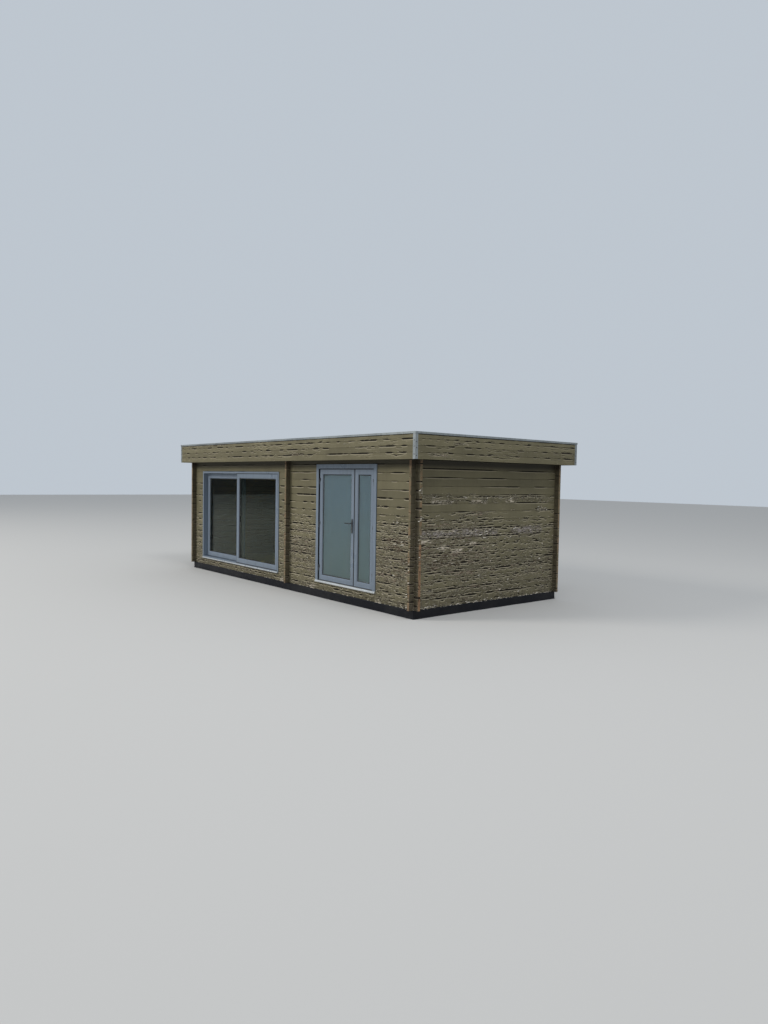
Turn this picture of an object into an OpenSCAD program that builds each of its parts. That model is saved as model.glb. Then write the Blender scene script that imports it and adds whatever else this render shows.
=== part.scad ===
// Garden office pod: a flat-roofed cabin of interlocking logs on a low base, with a sliding
// glazed door, an unequal pair of hinged glazed doors and a boarded fascia round the roof.
// Millimetres. The origin is on the ground under the middle of the roof, the front faces -Y,
// X runs along the front and Z is up.

/* [Building] */
// Length of the front and rear walls over their outer faces
front_len = 7040; // [6800:10:7600]
// Length of the side walls over their outer faces
side_len = 3166; // [2700:1:3600]
// Height of the base slab
base_h = 120; // [80:1:200]
// Thickness of the black membrane over the base
membrane_t = 5; // [2:0.5:8]
// How far the membrane stands out past the wall face
membrane_out = 14; // [8:1:30]
// From the sliding door's frame to the partition
partition_from_slider = 325; // [150:1:400]

/* [Logs] */
// Height that one log covers
log_h = 125; // [110:1:140]
// Thickness of a log
log_t = 44; // [34:1:58]
// Depth of the groove where two logs meet
groove = 5; // [2:0.5:8]
// How far the log ends pass the wall that they cross
log_end = 87; // [60:1:120]
// Height of the walls, in logs
courses = 18; // [18:1:20]

/* [Floor] */
// Height of the bearers under the floor
bearer_h = 68; // [40:1:80]
// Width of a bearer
bearer_w = 45; // [30:1:70]
// Distance from bearer to bearer, at most
bearer_pitch = 500; // [350:10:700]
// Thickness of the floor boards
floor_t = 28; // [18:1:36]
// Gap between the floor and the walls
floor_gap = 8; // [4:1:15]

/* [Roof] */
// How far the fascia stands out past the wall face
roof_out = 225; // [190:1:300]
// Number of boards in the fascia
fascia_boards = 4; // [4:1:5]
// Height that one fascia board covers
fascia_board_h = 93; // [90:1:100]
// Thickness of the fascia boards
fascia_t = 20; // [16:1:28]
// How far the fascia hangs below the top of the walls
fascia_drop = 130; // [100:1:140]
// Thickness of the timber rim behind the fascia
rim_t = 38; // [28:1:45]
// Thickness of the soffit boards
soffit_t = 16; // [12:1:20]
// How far the soffit sits above the lower edge of the fascia
soffit_up = 15; // [6:1:25]
// Gap round the logs where they pass the soffit
soffit_gap = 2; // [1:0.5:5]
// Height of a joist at the rear, its low end
joist_h = 130; // [100:1:140]
// How much higher the front end of a joist is
roof_fall = 40; // [20:1:45]
// Width of a joist
joist_w = 45; // [35:1:60]
// Distance from joist to joist, at most
joist_pitch = 600; // [400:10:700]
// Thickness of the roof boards
deck_t = 18; // [12:1:22]
// Thickness of the roof membrane
skin_t = 3; // [2:0.5:5]
// Height of the leg of the metal edge trim
trim_leg = 27; // [18:1:40]
// Thickness of the metal edge trim
trim_t = 2.5; // [1.5:0.5:4]
// How far the trim's leg stands off the fascia
trim_off = 6; // [5:0.5:12]
// Width of each side of the metal corner angles
angle_w = 50; // [30:1:70]
// Thickness of the metal corner angles
angle_t = 3; // [2:0.5:4]

/* [Doorways] */
// Height of the wall under the doorways, in logs
sill_logs = 1; // [0.5:0.5:1.5]
// How far both door frames stand out past the wall face
frame_out = 12; // [0:1:20]
// Gap between a door frame and the cut ends of the logs
frame_gap = 2; // [1:0.5:4]
// Depth of the glass units in every door
glass_t = 24; // [18:1:28]
// How far the glass reaches into its pocket
pocket = 12; // [8:1:16]
// Chamfer round the glass on the door members
bead = 12; // [4:1:13]

/* [Hinged doors] */
// Width of the frame of the hinged doors
door_w = 1579; // [1450:1:1700]
// Height of that frame, in logs
door_logs = 15.5; // [15:0.5:15.5]
// From the right wall's outer face to that frame
door_from_right = 859; // [600:1:950]
// Depth of that frame
door_frame_d = 95; // [90:1:110]
// Width of its jambs and head
jamb_w = 69; // [55:1:85]
// Height of the metal threshold
threshold_h = 30; // [20:1:40]
// How far the threshold's nose stands out past the frame
threshold_nose = 14; // [6:1:25]
// Width of the wide leaf
main_w = 942; // [860:1:980]
// Width of every member of the leaves
leaf_m = 89; // [75:1:110]
// Thickness of the leaves
leaf_t = 56; // [50:1:58]
// How far the leaves sit behind the face of the frame
leaf_in = 20; // [17:1:22]
// Gap round each leaf
leaf_gap = 6; // [5:0.5:8]
// Gap between the two leaves
meet_gap = 8; // [6:0.5:10]
// How much the meeting edges slant back
meet_bevel = 4; // [3:0.5:8]
// How far the stop of the frame reaches in behind the leaves
stop_w = 14; // [10:1:20]

/* [Hinges] */
// Number of hinges on each leaf
hinges = 3; // [2:1:4]
// Length of a hinge
hinge_len = 100; // [70:1:130]
// Radius of the hinge knuckles
knuckle_r = 7; // [6:0.5:7]
// Radius of the hinge pins
pin_r = 3; // [2:0.5:4]
// Thickness of the hinge plates
plate_t = 2.5; // [2:0.5:3.5]
// From the end of a leaf to its first hinge
hinge_inset = 150; // [100:1:250]
// How far a pin stops short of the top of its hinge
pin_short = 5; // [2:1:10]
// Gap between a hinge's knuckle and the faces of the leaf and the jamb
knuckle_gap = 0.5; // [0.3:0.1:1]
// How far the frame's hinge plate runs in past the leaf's outer face
plate_lap = 2; // [1:1:6]

/* [Handle] */
// Height of the lever above the frame's lower edge
lever_z = 1014; // [950:1:1100]
// Length of the lever
lever_len = 130; // [100:1:150]
// Thickness of the lever bar
lever_d = 16; // [12:1:20]
// How far the lever's middle stands off its plate
lever_off = 45; // [35:1:60]
// Radius of the spindle
spindle_r = 4; // [3:0.5:5]
// Height of the handle plates
plate_h = 226; // [180:1:250]
// Width of the handle plates
plate_w = 32; // [26:1:40]
// Depth of the handle plates
plate_d = 9; // [6:1:12]
// From the top of a plate to the spindle
plate_top = 72; // [50:1:90]

/* [Sliding door] */
// Width of the frame of the sliding door
slider_w = 3029; // [2800:1:3120]
// Height of that frame, in logs
slider_logs = 14.5; // [14:0.5:15]
// From the left wall's outer face to that frame
slider_from_left = 387; // [250:1:500]
// Width of its members
track_m = 40; // [32:1:50]
// Width of every sash member
sash_m = 90; // [75:1:105]
// Thickness of a sash
sash_t = 60; // [52:1:70]
// How far the fixed sash sits behind the face of the frame
sash_in = 12; // [6:1:20]
// Gap between the two sashes
sash_gap = 14; // [8:1:18]
// Gap between the sliding sash and the frame's inner lip
slide_gap = 6; // [5:0.5:8]
// Gap round the edges of the sliding sash
edge_gap = 12; // [8:0.5:14]
// How far the sashes overlap at the middle
sash_lap = 110; // [60:1:130]
// Depth of the inner lip of the frame
lip_d = 7; // [5:1:12]
// How far that lip covers the sliding sash
lip_cover = 10; // [8:1:16]
// Radius of the rollers under the sliding sash
roller_r = 12; // [9:1:14]

/* [Fits] */
// Running clearance of pins, spindles and rollers
run_gap = 0.3; // [0.2:0.1:0.6]

/* [Hidden] */
$fn = 48;
// How far every cut runs past the faces that it opens
cut = 1;
// Heights closer than this count as one
near = 0.1;

// Wall faces, heights and the places where walls cross
wall_x = front_len / 2;
wall_y = side_len / 2;
wall_z = base_h + membrane_t;
wall_h = courses * log_h;
wall_top = wall_z + wall_h;
slider_x = slider_from_left - wall_x;
partition_x = slider_x + slider_w + partition_from_slider;
cross_xs = [-wall_x, partition_x, wall_x - log_t];
cross_ys = [-wall_y, wall_y - log_t];

// Roof edges, from outside to inside, and heights
edge_x = wall_x + roof_out;
edge_y = wall_y + roof_out;
rim_x = edge_x - fascia_t;
rim_y = edge_y - fascia_t;
deck_x = rim_x - rim_t;
deck_y = rim_y - rim_t;
fascia_z = wall_top - fascia_drop;
fascia_top = fascia_z + fascia_boards * fascia_board_h;
soffit_z = fascia_z + soffit_up;
rim_z = soffit_z + soffit_t;

// Doorways
sill_z = sill_logs * log_h;
frame_y = -wall_y - frame_out;
door_h = door_logs * log_h;
door_x = wall_x - door_from_right - door_w;
slider_h = slider_logs * log_h;
split_z = sill_z + door_h;
glass_in = (leaf_t - glass_t) / 2;
narrow_w = door_w - 2 * jamb_w - 2 * leaf_gap - meet_gap - main_w;
leaf_h = door_h - threshold_h - 2 * leaf_gap - jamb_w;
leaf_z = threshold_h + leaf_gap;
main_x = jamb_w + leaf_gap;
narrow_x = main_x + main_w + meet_gap;
axis_off = knuckle_r + knuckle_gap;
lever_x = main_x + main_w - leaf_m / 2;

// Sliding door
slider_d = sash_in + 2 * sash_t + sash_gap + slide_gap + lip_d;
slide_in = sash_in + sash_t + sash_gap;
sash_mid = slider_w / 2;
fixed_x = sash_mid - sash_lap / 2;
fixed_w = slider_w - track_m - fixed_x;
fixed_h = slider_h - 2 * track_m;
slide_x = track_m + edge_gap;
slide_w = sash_mid + sash_lap / 2 - slide_x;
slide_h = fixed_h - 2 * edge_gap;
sash_glass_in = (sash_t - glass_t) / 2;

olive = "#7b7461";
dark_olive = "#5f5a4b";
door_grey = "#8c97a3";
metal = "#b4b7b8";
pine = "#c8a878";
black = "#1d1e20";
frosted = "#7f9499";

// A seam of a wall lies at first, first + log_h and so on, counted from the wall's foot
function is_seam(z, first) = abs(z - first - round((z - first) / log_h) * log_h) < near;
function seams(z0, z1, first) = [for (z = [first:log_h:z1 - near]) if (z > z0 + near) z];
// One face of a stack of logs, from z0 up to z1, as points of depth and height
function log_face(z0, z1, first) = concat(
    is_seam(z0, first) ? [[groove, z0], [0, z0 + groove]] : [[0, z0]],
    [for (z = seams(z0, z1, first)) each [[0, z - groove], [groove, z], [0, z + groove]]],
    is_seam(z1, first) ? [[0, z1 - groove], [groove, z1]] : [[0, z1]]);
function log_section(z0, z1, first) =
    let (face = log_face(z0, z1, first), last = len(face) - 1)
    concat(face, [for (i = [last:-1:0]) [log_t - face[i][0], face[i][1]]]);

// Stacks of logs along X, which start with half a log, and along Y, which start with a whole one
module logs_along_x(x0, x1, z0, z1) {
    translate([x0, 0, wall_z])
        rotate([90, 0, 90])
            linear_extrude(x1 - x0)
                polygon(log_section(z0, z1, log_h / 2));
}

module logs_along_y(y0, y1) {
    translate([0, y1, wall_z])
        rotate([90, 0, 0])
            linear_extrude(y1 - y0)
                polygon(log_section(0, wall_h, 0));
}

// Notches that let the logs of the crossing walls through, half a log high each
module notches_for_y_logs(x0, x1, z0, z1) {
    for (x = cross_xs, i = [0:courses - 1])
        if (x > x0 && x + log_t < x1 && (i + 0.75) * log_h > z0 && (i + 0.25) * log_h < z1)
            translate([x, -cut, wall_z + (i + 0.25) * log_h])
                cube([log_t, log_t + 2 * cut, log_h / 2]);
}

module notches_for_x_logs() {
    for (y = cross_ys, i = [0:courses])
        translate([-cut, y, wall_z + (i - 0.25) * log_h])
            cube([log_t + 2 * cut, log_t, log_h / 2]);
}

// A piece of a wall along X, at y, between x0 and x1 and between z0 and z1
module wall_along_x(y, x0, x1, z0, z1) {
    color(olive)
        translate([0, y, 0])
            difference() {
                logs_along_x(x0, x1, z0, z1);
                notches_for_y_logs(x0, x1, z0, z1);
            }
}

module wall_along_y(x) {
    color(olive)
        translate([x, 0, 0])
            difference() {
                logs_along_y(-wall_y - log_end, wall_y + log_end);
                notches_for_x_logs();
            }
}

// Four mitred members round an opening in the XZ plane. A section has points of distance in
// from the outer edge and depth behind the face. With open_foot the lower member is left out.
module member(length, section) {
    linear_extrude(length) polygon(section);
}

module mitre(length, m, d, square_foot = false) {
    foot = square_foot ? 0 : m;
    translate([0, d + cut, 0])
        rotate([90, 0, 0])
            linear_extrude(d + 2 * cut)
                polygon([[0, 0], [m, foot], [m, length - m], [0, length]]);
}

module side_member(h, m, d, section, open_foot) {
    intersection() {
        member(h, section);
        mitre(h, m, d, open_foot);
    }
}

module cross_member(w, m, d, section) {
    translate([w, 0, 0])
        rotate([0, -90, 0])
            intersection() {
                member(w, section);
                mitre(w, m, d);
            }
}

module mitred_frame(w, h, m, d, section, open_foot = false) {
    side_member(h, m, d, section, open_foot);
    translate([w, 0, 0]) mirror([1, 0, 0]) side_member(h, m, d, section, open_foot);
    translate([0, 0, h]) mirror([0, 0, 1]) cross_member(w, m, d, section);
    if (!open_foot) cross_member(w, m, d, section);
}

// Section of a glazed door member: a chamfer on both faces and a pocket for the glass
function glazed_section(m, d, in) = [
    [0, 0], [m - bead, 0], [m, bead], [m, in], [m - pocket, in],
    [m - pocket, in + glass_t], [m, in + glass_t], [m, d - bead], [m - bead, d], [0, d]];

module glass_pane(w, h, m, in) {
    translate([m - pocket, in, m - pocket])
        cube([w - 2 * (m - pocket), glass_t, h - 2 * (m - pocket)]);
}

// Base and floor
module base_slab() {
    color("dimgray")
        translate([-wall_x - membrane_out + membrane_t, -wall_y - membrane_out + membrane_t, 0])
            cube([2 * (wall_x + membrane_out - membrane_t),
                  2 * (wall_y + membrane_out - membrane_t), base_h]);
}

module base_membrane() {
    x = wall_x + membrane_out;
    y = wall_y + membrane_out;
    color(black)
        difference() {
            translate([-x, -y, 0]) cube([2 * x, 2 * y, wall_z]);
            translate([-x + membrane_t, -y + membrane_t, -cut])
                cube([2 * (x - membrane_t), 2 * (y - membrane_t), base_h + cut]);
        }
}

// Left edge and width of the two rooms, and what lies across a room's floor
rooms = [[-wall_x + log_t, partition_x + wall_x - log_t],
         [partition_x + log_t, wall_x - 2 * log_t - partition_x]];

module floor_bearers() {
    color(pine)
        for (room = rooms) {
            span = room[1] - 2 * floor_gap - bearer_w;
            steps = ceil(span / bearer_pitch);
            for (i = [0:steps])
                translate([room[0] + floor_gap + i * span / steps,
                           -wall_y + log_t + floor_gap, wall_z])
                    cube([bearer_w, side_len - 2 * (log_t + floor_gap), bearer_h]);
        }
}

module floor_boards() {
    color(pine)
        for (room = rooms)
            translate([room[0] + floor_gap, -wall_y + log_t + floor_gap, wall_z + bearer_h])
                cube([room[1] - 2 * floor_gap, side_len - 2 * (log_t + floor_gap), floor_t]);
}

// The front wall is made in pieces beside, under and over its two doorways
module front_wall_bottom() {
    wall_along_x(-wall_y, -wall_x - log_end, wall_x + log_end, 0, sill_z);
}

module front_wall_left() {
    wall_along_x(-wall_y, -wall_x - log_end, slider_x - frame_gap, sill_z, split_z);
}

module front_wall_middle() {
    wall_along_x(-wall_y, slider_x + slider_w + frame_gap, door_x - frame_gap, sill_z, split_z);
}

module front_wall_right() {
    wall_along_x(-wall_y, door_x + door_w + frame_gap, wall_x + log_end, sill_z, split_z);
}

module front_wall_over_slider() {
    wall_along_x(-wall_y, slider_x - frame_gap, slider_x + slider_w + frame_gap,
        sill_z + slider_h, split_z);
}

module front_wall_top() {
    wall_along_x(-wall_y, -wall_x - log_end, wall_x + log_end, split_z, wall_h);
}

module rear_wall() {
    wall_along_x(wall_y - log_t, -wall_x - log_end, wall_x + log_end, 0, wall_h);
}

module right_wall() {
    wall_along_y(wall_x - log_t);
}

module left_wall() {
    wall_along_y(-wall_x);
}

module partition_wall() {
    wall_along_y(partition_x);
}

// Roof. The joists fall from the front rim to the rear one, and the boards and the membrane
// lie on that slope.
function slope_z(y) = wall_top + joist_h + roof_fall * (deck_y - y) / (2 * deck_y);

module along_x(x0, x1, outline) {
    translate([x0, 0, 0])
        rotate([90, 0, 90])
            linear_extrude(x1 - x0)
                polygon(outline);
}

function slope_band(lift, t) = [
    [-deck_y, slope_z(-deck_y) + lift], [deck_y, slope_z(deck_y) + lift],
    [deck_y, slope_z(deck_y) + lift + t], [-deck_y, slope_z(-deck_y) + lift + t]];

module roof_joists() {
    span = front_len - joist_w;
    steps = ceil(span / joist_pitch);
    color(pine)
        for (i = [0:steps]) {
            x = -wall_x + i * span / steps;
            along_x(x, x + joist_w, [[-deck_y, wall_top], [deck_y, wall_top],
                [deck_y, slope_z(deck_y)], [-deck_y, slope_z(-deck_y)]]);
        }
}

module long_rims() {
    color(pine)
        for (side = [0, 1])
            mirror([0, side, 0])
                translate([-rim_x, -rim_y, rim_z])
                    cube([2 * rim_x, rim_t, fascia_top - rim_z]);
}

module end_rims() {
    color(pine)
        for (side = [0, 1])
            mirror([side, 0, 0])
                translate([deck_x, -deck_y, rim_z])
                    cube([rim_t, 2 * deck_y, fascia_top - rim_z]);
}

module roof_deck() {
    color(pine) along_x(-deck_x, deck_x, slope_band(0, deck_t));
}

module roof_membrane() {
    color(black) {
        along_x(-deck_x, deck_x, slope_band(deck_t, skin_t));
        for (side = [0, 1])
            mirror([side, 0, 0])
                along_x(deck_x - skin_t, deck_x, [
                    [-deck_y, slope_z(-deck_y) + deck_t], [deck_y, slope_z(deck_y) + deck_t],
                    [deck_y, fascia_top], [-deck_y, fascia_top]]);
        for (y = [-deck_y, deck_y - skin_t])
            translate([-deck_x, y, slope_z(y) + deck_t + skin_t / 2])
                cube([2 * deck_x, skin_t, fascia_top - slope_z(y) - deck_t - skin_t / 2]);
    }
}

module long_soffits() {
    color(dark_olive)
        for (side = [0, 1])
            mirror([0, side, 0])
                difference() {
                    translate([-rim_x, -rim_y, soffit_z])
                        cube([2 * rim_x, rim_y - wall_y, soffit_t]);
                    for (x = cross_xs)
                        translate([x - soffit_gap, -wall_y - log_end - soffit_gap,
                                   soffit_z - cut])
                            cube([log_t + 2 * soffit_gap, log_end + soffit_gap + cut,
                                  soffit_t + 2 * cut]);
                }
}

module end_soffits() {
    color(dark_olive)
        for (side = [0, 1])
            mirror([side, 0, 0])
                difference() {
                    translate([wall_x, -wall_y, soffit_z])
                        cube([rim_x - wall_x, side_len, soffit_t]);
                    for (turn = [0, 1])
                        mirror([0, turn, 0])
                            translate([wall_x - cut, -wall_y - cut, soffit_z - cut])
                                cube([log_end + soffit_gap + cut, log_t + soffit_gap + cut,
                                      soffit_t + 2 * cut]);
                }
}

// Outline of the fascia: flat behind, with a groove between boards in front
function fascia_outline() = concat(
    [[0, fascia_z]],
    [for (i = [1:fascia_boards - 1])
        let (z = fascia_z + i * fascia_board_h)
        each [[0, z - groove], [groove, z], [0, z + groove]]],
    [[0, fascia_top], [fascia_t, fascia_top], [fascia_t, fascia_z]]);

module fascia(length) {
    color(olive) along_x(-length / 2, length / 2, fascia_outline());
}

module front_fascia() {
    translate([0, -edge_y, 0]) fascia(2 * edge_x);
}

module rear_fascia() {
    rotate([0, 0, 180]) translate([0, -edge_y, 0]) fascia(2 * edge_x);
}

module right_fascia() {
    rotate([0, 0, 90]) translate([0, -edge_x, 0]) fascia(2 * rim_y);
}

module left_fascia() {
    rotate([0, 0, -90]) translate([0, -edge_x, 0]) fascia(2 * rim_y);
}

module corner_angles() {
    color(metal)
        for (sx = [0, 1], sy = [0, 1])
            mirror([sx, 0, 0])
                mirror([0, sy, 0])
                    translate([edge_x, -edge_y, fascia_z]) {
                        translate([-angle_w + angle_t, -angle_t, 0])
                            cube([angle_w, angle_t, fascia_top - fascia_z]);
                        translate([0, -angle_t, 0])
                            cube([angle_t, angle_w, fascia_top - fascia_z]);
                    }
}

// Metal trim: a flange over the fascia, the rim and the membrane, and a leg clear of the boards
function trim_outline() = [
    [-trim_off - trim_t, trim_t], [fascia_t + rim_t + skin_t, trim_t],
    [fascia_t + rim_t + skin_t, 0], [-trim_off, 0],
    [-trim_off, -trim_leg], [-trim_off - trim_t, -trim_leg]];

module trim(half_length) {
    reach = half_length + trim_off + trim_t;
    depth = fascia_t + rim_t + skin_t + trim_off + trim_t;
    color(metal)
        translate([0, 0, fascia_top])
            intersection() {
                along_x(-reach, reach, trim_outline());
                translate([0, -trim_off - trim_t, -trim_leg - cut])
                    linear_extrude(trim_leg + trim_t + 2 * cut)
                        polygon([[-reach, 0], [reach, 0], [reach - depth, depth],
                                 [-reach + depth, depth]]);
            }
}

module long_trims() {
    for (turn = [0, 180])
        rotate([0, 0, turn]) translate([0, -edge_y, 0]) trim(edge_x);
}

module end_trims() {
    for (turn = [90, -90])
        rotate([0, 0, turn]) translate([0, -edge_x, 0]) trim(edge_y);
}

// Sliding door
module at_slider() {
    translate([slider_x, frame_y, wall_z + sill_z]) children();
}

module slider_frame() {
    reach = track_m + edge_gap + lip_cover;
    section = [[0, 0], [track_m, 0], [track_m, slider_d - lip_d], [reach, slider_d - lip_d],
               [reach, slider_d], [0, slider_d]];
    color(door_grey) at_slider() mitred_frame(slider_w, slider_h, reach, slider_d, section);
}

module fixed_sash() {
    color(door_grey)
        at_slider()
            translate([fixed_x, sash_in, track_m])
                mitred_frame(fixed_w, fixed_h, sash_m, sash_t,
                    glazed_section(sash_m, sash_t, sash_glass_in));
}

module fixed_glass() {
    color("lightblue", 0.5)
        at_slider()
            translate([fixed_x, sash_in, track_m])
                glass_pane(fixed_w, fixed_h, sash_m, sash_glass_in);
}

module at_sliding_sash() {
    at_slider() translate([slide_x, slide_in, track_m + edge_gap]) children();
}

module sliding_sash() {
    color(door_grey)
        at_sliding_sash() {
            mitred_frame(slide_w, slide_h, sash_m, sash_t,
                glazed_section(sash_m, sash_t, sash_glass_in));
            for (x = [sash_m * 2, slide_w - sash_m * 2])
                translate([x, sash_t / 2 + roller_r / 2, roller_r + run_gap - edge_gap])
                    rotate([90, 0, 0])
                        cylinder(r = roller_r, h = roller_r);
        }
}

module sliding_glass() {
    color("lightblue", 0.5)
        at_sliding_sash() glass_pane(slide_w, slide_h, sash_m, sash_glass_in);
}

// A bar on two posts, on the room side of the sliding sash
module slider_handle() {
    color(metal)
        at_sliding_sash()
            translate([sash_m / 2, sash_t, lever_z - track_m - edge_gap]) {
                for (z = [-plate_h / 2, plate_h / 2])
                    translate([0, 0, z])
                        rotate([-90, 0, 0])
                            cylinder(d = lever_d * 0.75, h = lever_off);
                translate([0, lever_off, -plate_h / 2 - lever_d])
                    cylinder(d = lever_d, h = plate_h + 2 * lever_d);
            }
}

// Hinged doors
module at_door() {
    translate([door_x, frame_y, wall_z + sill_z]) children();
}

module door_frame() {
    back = leaf_in + leaf_t + leaf_gap;
    section = [[0, 0], [jamb_w, 0], [jamb_w, back], [jamb_w + stop_w, back],
               [jamb_w + stop_w, door_frame_d], [0, door_frame_d]];
    color(door_grey)
        at_door()
            translate([0, 0, threshold_h])
                mitred_frame(door_w, door_h - threshold_h, jamb_w + stop_w, door_frame_d,
                    section, true);
}

module threshold() {
    color(metal)
        at_door()
            along_x(0, door_w, [[-threshold_nose, 0], [-threshold_nose, threshold_h / 2],
                [0, threshold_h], [door_frame_d, threshold_h], [door_frame_d, 0]]);
}

module at_main_leaf() {
    at_door() translate([main_x, leaf_in, leaf_z]) children();
}

// The narrow leaf is the wide one's mirror image, measured from its own hinged edge
module at_narrow_leaf() {
    at_door()
        translate([narrow_x + narrow_w, leaf_in, leaf_z])
            mirror([1, 0, 0])
                children();
}

module leaf(w) {
    difference() {
        mitred_frame(w, leaf_h, leaf_m, leaf_t, glazed_section(leaf_m, leaf_t, glass_in));
        translate([0, 0, -cut])
            linear_extrude(leaf_h + 2 * cut)
                polygon([[w, 0], [w + cut, -cut], [w + cut, leaf_t + cut],
                         [w - meet_bevel, leaf_t + cut], [w - meet_bevel, leaf_t]]);
    }
}

function hinge_zs() = [for (i = [0:hinges - 1])
    hinge_inset + i * (leaf_h - 2 * hinge_inset - hinge_len) / (hinges - 1)];

// One half of a hinge on its axis: the frame's half is below and holds the pin
module frame_half_hinge() {
    cylinder(r = knuckle_r, h = hinge_len / 2);
    cylinder(r = pin_r, h = hinge_len - pin_short);
    translate([-axis_off, -axis_off, 0])
        cube([plate_t, 2 * axis_off + plate_lap, hinge_len / 2]);
}

module leaf_half_hinge() {
    translate([0, 0, hinge_len / 2 + run_gap])
        difference() {
            union() {
                cylinder(r = knuckle_r, h = hinge_len / 2);
                translate([0, axis_off - plate_t, 0])
                    cube([4 * knuckle_r, plate_t, hinge_len / 2]);
            }
            translate([0, 0, -cut])
                cylinder(r = pin_r + run_gap, h = hinge_len / 2 + 2 * cut);
        }
}

// The axis lies just in front of the leaf's face and just clear of the jamb
module at_leaf_hinges() {
    for (z = hinge_zs())
        translate([axis_off - leaf_gap, -axis_off, z]) children();
}

module frame_hinges() {
    color(metal) {
        at_main_leaf() at_leaf_hinges() frame_half_hinge();
        at_narrow_leaf() at_leaf_hinges() frame_half_hinge();
    }
}

module main_hinges() {
    color(metal) at_main_leaf() at_leaf_hinges() leaf_half_hinge();
}

module narrow_hinges() {
    color(metal) at_narrow_leaf() at_leaf_hinges() leaf_half_hinge();
}

// The spindle's own axis, from the outer plate to the inner one
module at_spindle() {
    at_door() translate([lever_x, leaf_in, lever_z]) rotate([-90, 0, 0]) children();
}

module main_leaf() {
    color(door_grey)
        difference() {
            at_main_leaf() leaf(main_w);
            at_spindle()
                translate([0, 0, -cut])
                    cylinder(r = spindle_r + run_gap, h = leaf_t + 2 * cut);
        }
}

module main_glass() {
    color(frosted) at_main_leaf() glass_pane(main_w, leaf_h, leaf_m, glass_in);
}

module narrow_leaf() {
    color(door_grey) at_narrow_leaf() leaf(narrow_w);
}

module narrow_glass() {
    color(frosted) at_narrow_leaf() glass_pane(narrow_w, leaf_h, leaf_m, glass_in);
}

module handle_plates() {
    color(metal)
        difference() {
            at_door()
                for (y = [leaf_in - plate_d, leaf_in + leaf_t])
                    translate([lever_x, y + plate_d, lever_z + plate_top - plate_h])
                        rotate([90, 0, 0])
                            linear_extrude(plate_d)
                                rounded_plate();
            at_spindle()
                translate([0, 0, -plate_d - cut])
                    cylinder(r = spindle_r + run_gap, h = leaf_t + 2 * (plate_d + cut));
        }
}

module rounded_plate() {
    r = plate_w / 2;
    translate([0, r]) circle(r);
    translate([0, plate_h - r]) circle(r);
    translate([-r, r]) square([plate_w, plate_h - 2 * r]);
}

// Both levers and the spindle turn as one piece
module lever_handle() {
    r = lever_d / 2;
    inner = leaf_t + plate_d;
    color(metal)
        at_spindle() {
            translate([0, 0, -plate_d - lever_off])
                cylinder(r = spindle_r, h = leaf_t + 2 * (plate_d + lever_off));
            for (face = [[-plate_d - lever_off, -plate_d - lever_off],
                         [inner + lever_off, inner + run_gap]]) {
                translate([0, 0, face[1]]) cylinder(r = r, h = lever_off - run_gap);
                translate([0, 0, face[0]]) {
                    sphere(r);
                    rotate([0, -90, 0]) cylinder(r = r, h = lever_len - r);
                    translate([-lever_len + r, 0, 0]) sphere(r);
                }
            }
        }
}

base_slab();
base_membrane();
floor_bearers();
floor_boards();
front_wall_bottom();
front_wall_left();
front_wall_middle();
front_wall_right();
front_wall_over_slider();
front_wall_top();
right_wall();
left_wall();
rear_wall();
partition_wall();
roof_joists();
long_rims();
end_rims();
roof_deck();
roof_membrane();
long_soffits();
end_soffits();
front_fascia();
rear_fascia();
left_fascia();
right_fascia();
corner_angles();
long_trims();
end_trims();
slider_frame();
fixed_sash();
fixed_glass();
sliding_sash();
sliding_glass();
slider_handle();
door_frame();
threshold();
frame_hinges();
main_leaf();
main_glass();
main_hinges();
narrow_leaf();
narrow_glass();
narrow_hinges();
handle_plates();
lever_handle();
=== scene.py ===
import math
import random
from collections import namedtuple

import bmesh
import bpy
from mathutils import Matrix, Vector
from mathutils.bvhtree import BVHTree
from mathutils.noise import noise as noise_at


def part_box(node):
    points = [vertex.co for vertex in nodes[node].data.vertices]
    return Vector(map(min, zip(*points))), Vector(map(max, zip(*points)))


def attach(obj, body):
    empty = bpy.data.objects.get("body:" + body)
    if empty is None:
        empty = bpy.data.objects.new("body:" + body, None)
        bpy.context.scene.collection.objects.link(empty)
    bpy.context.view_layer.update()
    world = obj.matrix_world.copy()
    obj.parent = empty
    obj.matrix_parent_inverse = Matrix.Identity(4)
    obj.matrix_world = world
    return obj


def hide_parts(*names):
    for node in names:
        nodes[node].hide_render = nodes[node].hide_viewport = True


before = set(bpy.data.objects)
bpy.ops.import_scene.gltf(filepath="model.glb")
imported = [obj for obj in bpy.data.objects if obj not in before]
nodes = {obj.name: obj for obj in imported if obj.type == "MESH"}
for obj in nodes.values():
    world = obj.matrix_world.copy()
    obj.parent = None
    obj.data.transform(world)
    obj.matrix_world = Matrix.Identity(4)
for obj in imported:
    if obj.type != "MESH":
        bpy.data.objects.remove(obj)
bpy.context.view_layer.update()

collection = bpy.context.scene.collection

# Sizes, in metres, read from the frame. FRONT and SIDE are the outer faces of the walls.
FOOT_LO, FOOT_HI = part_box("front_wall_bottom")
SIDE_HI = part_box("right_wall")[1]
EDGE_LO, EDGE_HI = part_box("front_fascia")
END_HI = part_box("right_fascia")[1]
SKIRT_LO, SKIRT_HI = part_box("base_membrane")
LOG_T = FOOT_HI.y - FOOT_LO.y
COURSE = FOOT_HI.z - FOOT_LO.z
FOOT = FOOT_LO.z
HALF_UP = FOOT + COURSE / 2
TOP = SIDE_HI.z
FRONT = -FOOT_LO.y
SIDE = SIDE_HI.x
BOARD = (EDGE_HI.z - EDGE_LO.z) / 4

# A quarter of a turn
QUARTER = math.pi / 2


def smoothstep(low, high, value):
    t = min(max((value - low) / (high - low), 0.0), 1.0)
    return t * t * (3 - 2 * t)


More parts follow.
